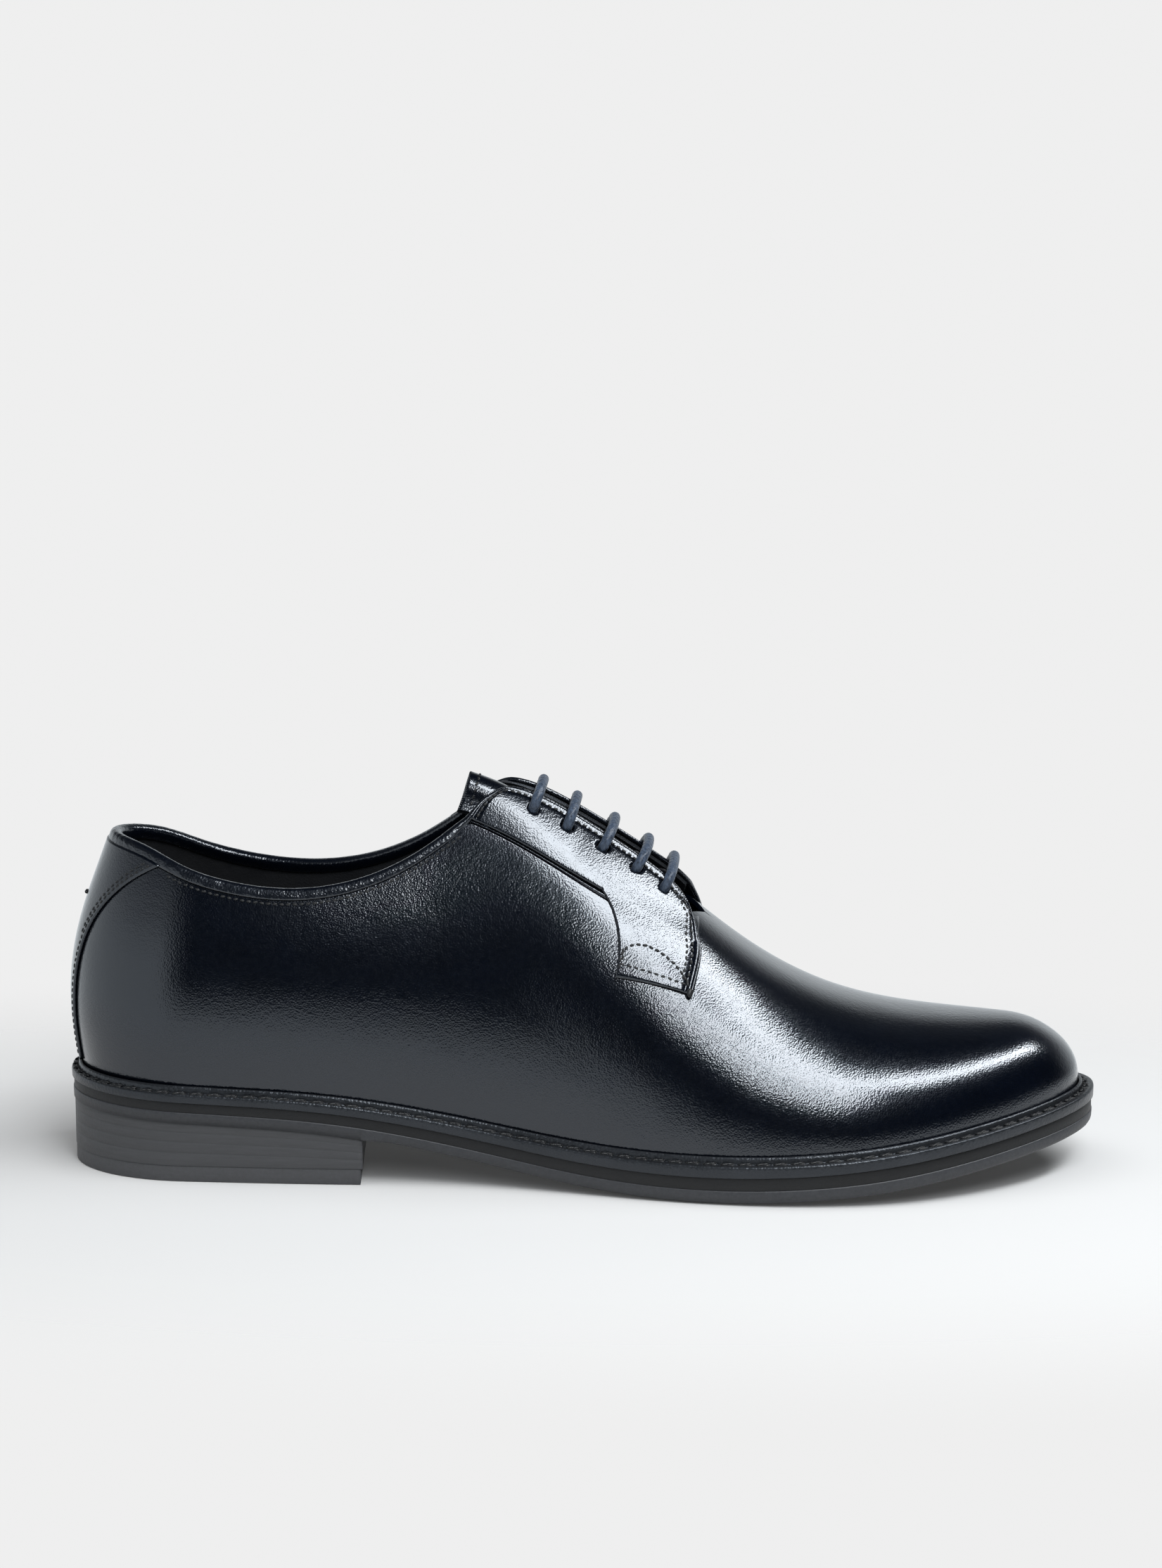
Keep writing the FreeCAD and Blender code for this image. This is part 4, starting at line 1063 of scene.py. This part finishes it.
def slab(name, section, slot, front=None, steps=420, across=16):
    """A solid layer with an edge section; front is the station where it ends, if it does."""
    sides = []
    for side in (-1, 1):
        end = 1.0
        if front is not None:
            station = front - side * BREAST_HALF * math.tan(math.radians(BREAST_ANGLE))
            end = math.acos(1 - 2 * station / LENGTH) / math.pi
        sides.append(rows_of(side, np.linspace(0, end, steps), section))
    lateral, medial = sides
    net = Net()
    net.grid(lateral)
    net.grid(medial)
    mix = np.linspace(0, 1, across + 1)[None, :, None]
    for r in (0, -1):
        net.grid(lateral[:, r][:, None] * (1 - mix) + medial[:, r][:, None] * mix)
    if front is not None:
        net.grid(lateral[-1][:, None] * (1 - mix) + medial[-1][:, None] * mix)
    return net.piece(name, slot)


def rounded_edge(low, high, inset, roll):
    """Edge section between two heights, its corners rounded by roll."""
    steps = [(0.0, 1.0), (0.3, 0.3), (1.0, 0.0)]
    rows = [(edge_in(inset + roll * b), lambda f, a=a: low(f) + roll * a) for a, b in steps]
    rows += [(edge_in(inset), lambda f: (low(f) + high(f)) / 2)]
    rows += [(edge_in(inset + roll * b), lambda f, a=a: high(f) - roll * a) for a, b in reversed(steps)]
    return rows


def heel_height(value):
    """Height in the heel: 0 on the top piece, 1 under the outsole."""
    return lambda f: TOP_PIECE + (curve(SOLE_BOTTOM, np.minimum(f, SEAT_END)) - TOP_PIECE) * value


def sole():
    """Every layer of the sole and of the heel, by name."""
    made = {}
    bead = [(1.62, 0.1), (1.6, 0.9), (1.52, 1.4), (1.3, 1.76), (0.98, 1.9), (0.66, 1.76), (0.42, 1.4),
            (0.33, 0.9), (0.3, 0.0)]
    section = [corner(0.25, MIDSOLE_SHARE), corner(0.05, MIDSOLE_SHARE, 0.2), corner(0.0, 1.0, -0.7),
               corner(0.1, 1.0, -0.25), corner(0.4, 1.0, -0.03), corner(0.9, 1.0)]
    groove = [(2.85, 0.0), (2.65, -0.15), (2.5, -0.55), (2.1, -0.62), (1.75, -0.45)]
    section += [ridge(distance, height) for distance, height in groove + bead]
    section += [corner(9.0, 1.0), corner(9.0, MIDSOLE_SHARE)]
    made["welt_strip"] = ring_band("welt_strip", section, "welt_leather")
    edge = rounded_edge(share(OUTSOLE_SHARE), share(MIDSOLE_SHARE), 0.62, 0.12)
    made["midsole_layer"] = slab("midsole_layer", edge, "sole_leather")
    free = HEEL_LENGTH / LENGTH + 0.005

    def rolled(inset, height):
        """A corner point that is rolled only in front of the heel."""
        return (lambda f: 0.45 + (inset - 0.45) * smooth((f - free) / 0.03),
                lambda f: sole_height(f, 0.0) + height * smooth((f - free) / 0.03))

    chamfer = [rolled(2.6, 0.0), rolled(1.9, 0.12), rolled(1.1, 0.55), rolled(0.7, 1.15), rolled(0.5, 1.9),
               corner(0.42, OUTSOLE_SHARE, -0.3), corner(0.55, OUTSOLE_SHARE)]
    made["outsole_layer"] = slab("outsole_layer", chamfer, "sole_rubber")
    for k in range(len(LIFT_SHARES) - 1):
        name = "heel_layer_%d" % (k + 1)
        low, high = heel_height(LIFT_SHARES[k + 1]), heel_height(LIFT_SHARES[k])
        made[name] = slab(name, rounded_edge(low, high, HEEL_INSET + 0.01 * k, 0.04), "heel_leather",
                          HEEL_LENGTH, 120)
    rows = rounded_edge(edge_in(0.0), edge_in(TOP_PIECE), HEEL_INSET + 0.2, 0.12)
    made["heel_tip"] = slab("heel_tip", rows, "heel_rubber", HEEL_LENGTH - 0.6, 120)
    return made


def welt_stitches():
    """Lock stitches in the welt's groove, all the way round."""
    t = np.linspace(0, 1, 1500)
    rows = []
    for side in (-1, 1):
        path = rows_of(side, t, [(from_feather(2.55), share(1.0, -0.05))])[:, 0]
        centres, tangents, _ = spaced(path, 5.0)
        up = np.tile([0.0, 0.0, 1.0], (len(centres), 1))
        lean = np.cross(up, unit(tangents)) * side * 0.12
        rows.append((centres, tangents + lean * 1.5, up, 4.7, 1.15, 0.95))
        rows.append((centres + up * 0.12, tangents - lean * 2.5, up, 4.1, 0.7, 0.95))
    return stitch_mesh("welt_lock_stitches", rows)


# ---- the build
def ride(piece, body, *nodes):
    """Fixes a piece to a body; it stands for the nodes, if any are given."""
    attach(piece, body)
    if nodes:
        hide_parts(*nodes)


def hinge_blend(piece):
    """Bakes a piece's transform into its mesh."""
    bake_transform(piece)


def build():
    """Makes every visible piece and puts most on the body that they move with; the tongue skin, the facings
    with their beads and stitches, and the laces only have their transforms baked.
    """
    ride(upper(), "shoe", "vamp_quarters")
    ride(backstay(), "shoe", "backstay")
    ride(topline_binding(), "shoe", "topline_binding")
    skin = tongue()
    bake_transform(skin)
    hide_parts("tongue")
    stands_for = {"welt_strip": "welt", "midsole_layer": "midsole", "outsole_layer": "outsole",
                  "heel_tip": "heel_top_piece"}
    stands_for.update({"heel_layer_%d" % k: "heel_lift_%d" % k for k in range(1, len(LIFT_SHARES))})
    for name, piece in sole().items():
        ride(piece, "shoe", stands_for[name])
    ride(welt_stitches(), "shoe", "welt_stitching")
    for side, name in ((-1, "lateral"), (1, "medial")):
        piece = facing(side, "facing_skin_" + name)
        hinge_blend(piece)
        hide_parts("facing_" + name, "facing_tab_" + name)
        hinge_blend(facing_bead(side, "facing_bead_" + name))
        flap, tab = facing_rows(side)
        hinge_blend(stitch_mesh("facing_stitches_" + name, flap))
        ride(seam_strip(side, "seam_strip_" + name), "shoe")
        ride(stitch_mesh("tab_stitches_" + name, tab + tab_knot(side)), "shoe")
    ride(stitch_mesh("topline_stitches", topline_rows()), "shoe")
    ride(stitch_mesh("back_seam_stitches", backstay_rows() + back_knot()), "shoe")
    ride(stitch_mesh("tongue_stitches", tongue_rows()), "tongue_flap")
    pieces = lace()
    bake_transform(pieces["lace_lateral"])
    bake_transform(pieces["lace_medial"])
    for name, hole, side, reach in (("lateral", HOLES - 1, -1, (-0.018, 0, 0.008)),
                                    ("medial", 0, 1, (-0.012, 0.002, -0.004))):
        start = lace_under(hole, side) * MM
        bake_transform(pieces["lace_tail_" + name])
    for piece in pieces.values():
        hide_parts("lace")


build()


# ---- floor, light, camera
BACKGROUND = 0.862                 # a light grey
FLOOR_ALBEDO, FLOOR_RADIUS, FLOOR_DROP = 0.5, 1.2, 0.0002
# overhead lamps: place, size, turn in degrees, power
STRIPS = [((0.87, -0.1, 1.2), (1.5, 0.3), 60.0, 23.0), ((0.3, -1.85, 1.2), (1.45, 0.32), 73.6, 21.0),
          ((0.32, -0.9, 1.2), (0.52, 0.46), 0.0, 11.0)]


def stage_floor():
    """A wide pale disc under the shoe that fades into the background."""
    look = Look("floor", (FLOOR_ALBEDO,) * 3, 0.95, Specular_IOR_Level=0.0,
                Emission_Color=(1, 1, 1, 1), Emission_Strength=0.04)
    away = look.add("ShaderNodeVectorMath", "Value", {0: look.place((1.0, 2.0, 1.0))}, operation="LENGTH")
    fade = look.eased(away, 0.17, 0.5, 0.0, 1.0)
    clear = look.add("ShaderNodeBsdfTransparent", "BSDF", {})
    mix = look.add("ShaderNodeMixShader", "Shader", {"Fac": fade, 1: look.shader.outputs["BSDF"], 2: clear})
    look.links.new(mix, look.nodes["Material Output"].inputs["Surface"])
    bm = bmesh.new()
    bmesh.ops.create_circle(bm, cap_ends=True, segments=96, radius=FLOOR_RADIUS)
    mesh = bpy.data.meshes.new("floor")
    bm.to_mesh(mesh)
    bm.free()
    mesh.materials.append(look.material)
    floor = bpy.data.objects.new("floor", mesh)
    floor.location.z = -FLOOR_DROP
    bpy.context.collection.objects.link(floor)


def area(name, place, size, power, colour=(1, 1, 1)):
    """A rectangular lamp, which faces straight down until it is turned."""
    light = bpy.data.lights.new(name, "AREA")
    light.shape = "RECTANGLE"
    light.size, light.size_y = size
    light.energy = power
    light.color = colour
    lamp = bpy.data.objects.new(name, light)
    lamp.location = place
    bpy.context.collection.objects.link(lamp)
    return lamp


def studio():
    """Pale walls behind and on the left, light from below the horizon, lamps overhead."""
    world = bpy.data.worlds.new("studio")
    bpy.context.scene.world = world
    tree = Tree(world)
    split = tree.nodes.new("ShaderNodeSeparateXYZ")
    tree.links.new(tree.add("ShaderNodeTexCoord", "Generated", {}), split.inputs["Vector"])
    x, y, z = (split.outputs[key] for key in "XYZ")

    def joined(operation, first, second):
        return tree.add("ShaderNodeMath", "Value", {0: first, 1: second}, operation=operation)

    walls = joined("MAXIMUM", tree.eased(y, 0.2, 0.85, 0.01, 0.7), tree.eased(x, -0.35, -0.47, 0.01, 0.85))
    walls = joined("MULTIPLY", walls, tree.eased(z, 0.15, 0.6, 1.0, 0.08))
    strength = joined("MAXIMUM", walls, tree.eased(z, -0.02, -0.12, 0.0, 0.85))
    seen = tree.add("ShaderNodeLightPath", "Is Camera Ray", {})
    strength = tree.add("ShaderNodeMix", "Result", {"Factor": seen, "A": strength, "B": BACKGROUND},
                        data_type="FLOAT")
    # the mix node's colour sockets share their names with others, so they go by number
    tint = tree.add("ShaderNodeMix", 2, {"Factor": seen, 6: (0.9, 0.96, 1.0, 1), 7: (1, 1, 1, 1)},
                    data_type="RGBA")
    background = tree.nodes["Background"]
    tree.links.new(strength, background.inputs["Strength"])
    tree.links.new(tint, background.inputs["Color"])
    for place, size, turn, power in STRIPS:
        strip = area("overhead strip", place, size, power, (0.95, 0.98, 1.0))
        strip.rotation_euler = (0.0, 0.0, math.radians(turn))
    wash = area("floor wash", (-0.1, -0.25, 1.3), (2.3, 0.9), 14.0)
    wash.rotation_euler = Vector((0.1, 0.25, -1.3)).to_track_quat("-Z", "Y").to_euler()
    wash.visible_glossy = False


LENS, SENSOR_WIDTH = 92.85, 36.0   # millimetres


def studio_camera():
    """A long lens, 3 degrees to the toe side of square on, looking down 13.6 degrees."""
    azimuth, elevation, distance = math.radians(3.0), math.radians(13.58), 1.2
    target = Vector((0, 0, 0.040))

    def towards(rise):
        """The direction from the target at the camera's azimuth, at a rise over the floor."""
        return Vector((math.sin(azimuth) * math.cos(rise), -math.cos(azimuth) * math.cos(rise),
                       math.sin(rise)))

    tilt_up = math.radians(3.416)      # the shoe stands below the middle of the frame
    data = bpy.data.cameras.new("camera")
    data.lens, data.sensor_width = LENS, SENSOR_WIDTH
    data.clip_start = 0.05
    camera = bpy.data.objects.new("camera", data)
    camera.location = target + towards(elevation) * distance
    ahead = -towards(elevation - tilt_up)
    camera.rotation_euler = ahead.to_track_quat("-Z", "Y").to_euler()
    bpy.context.collection.objects.link(camera)
    bpy.context.scene.camera = camera


stage_floor()
studio()
studio_camera()
bpy.context.scene.view_settings.view_transform = "Standard"
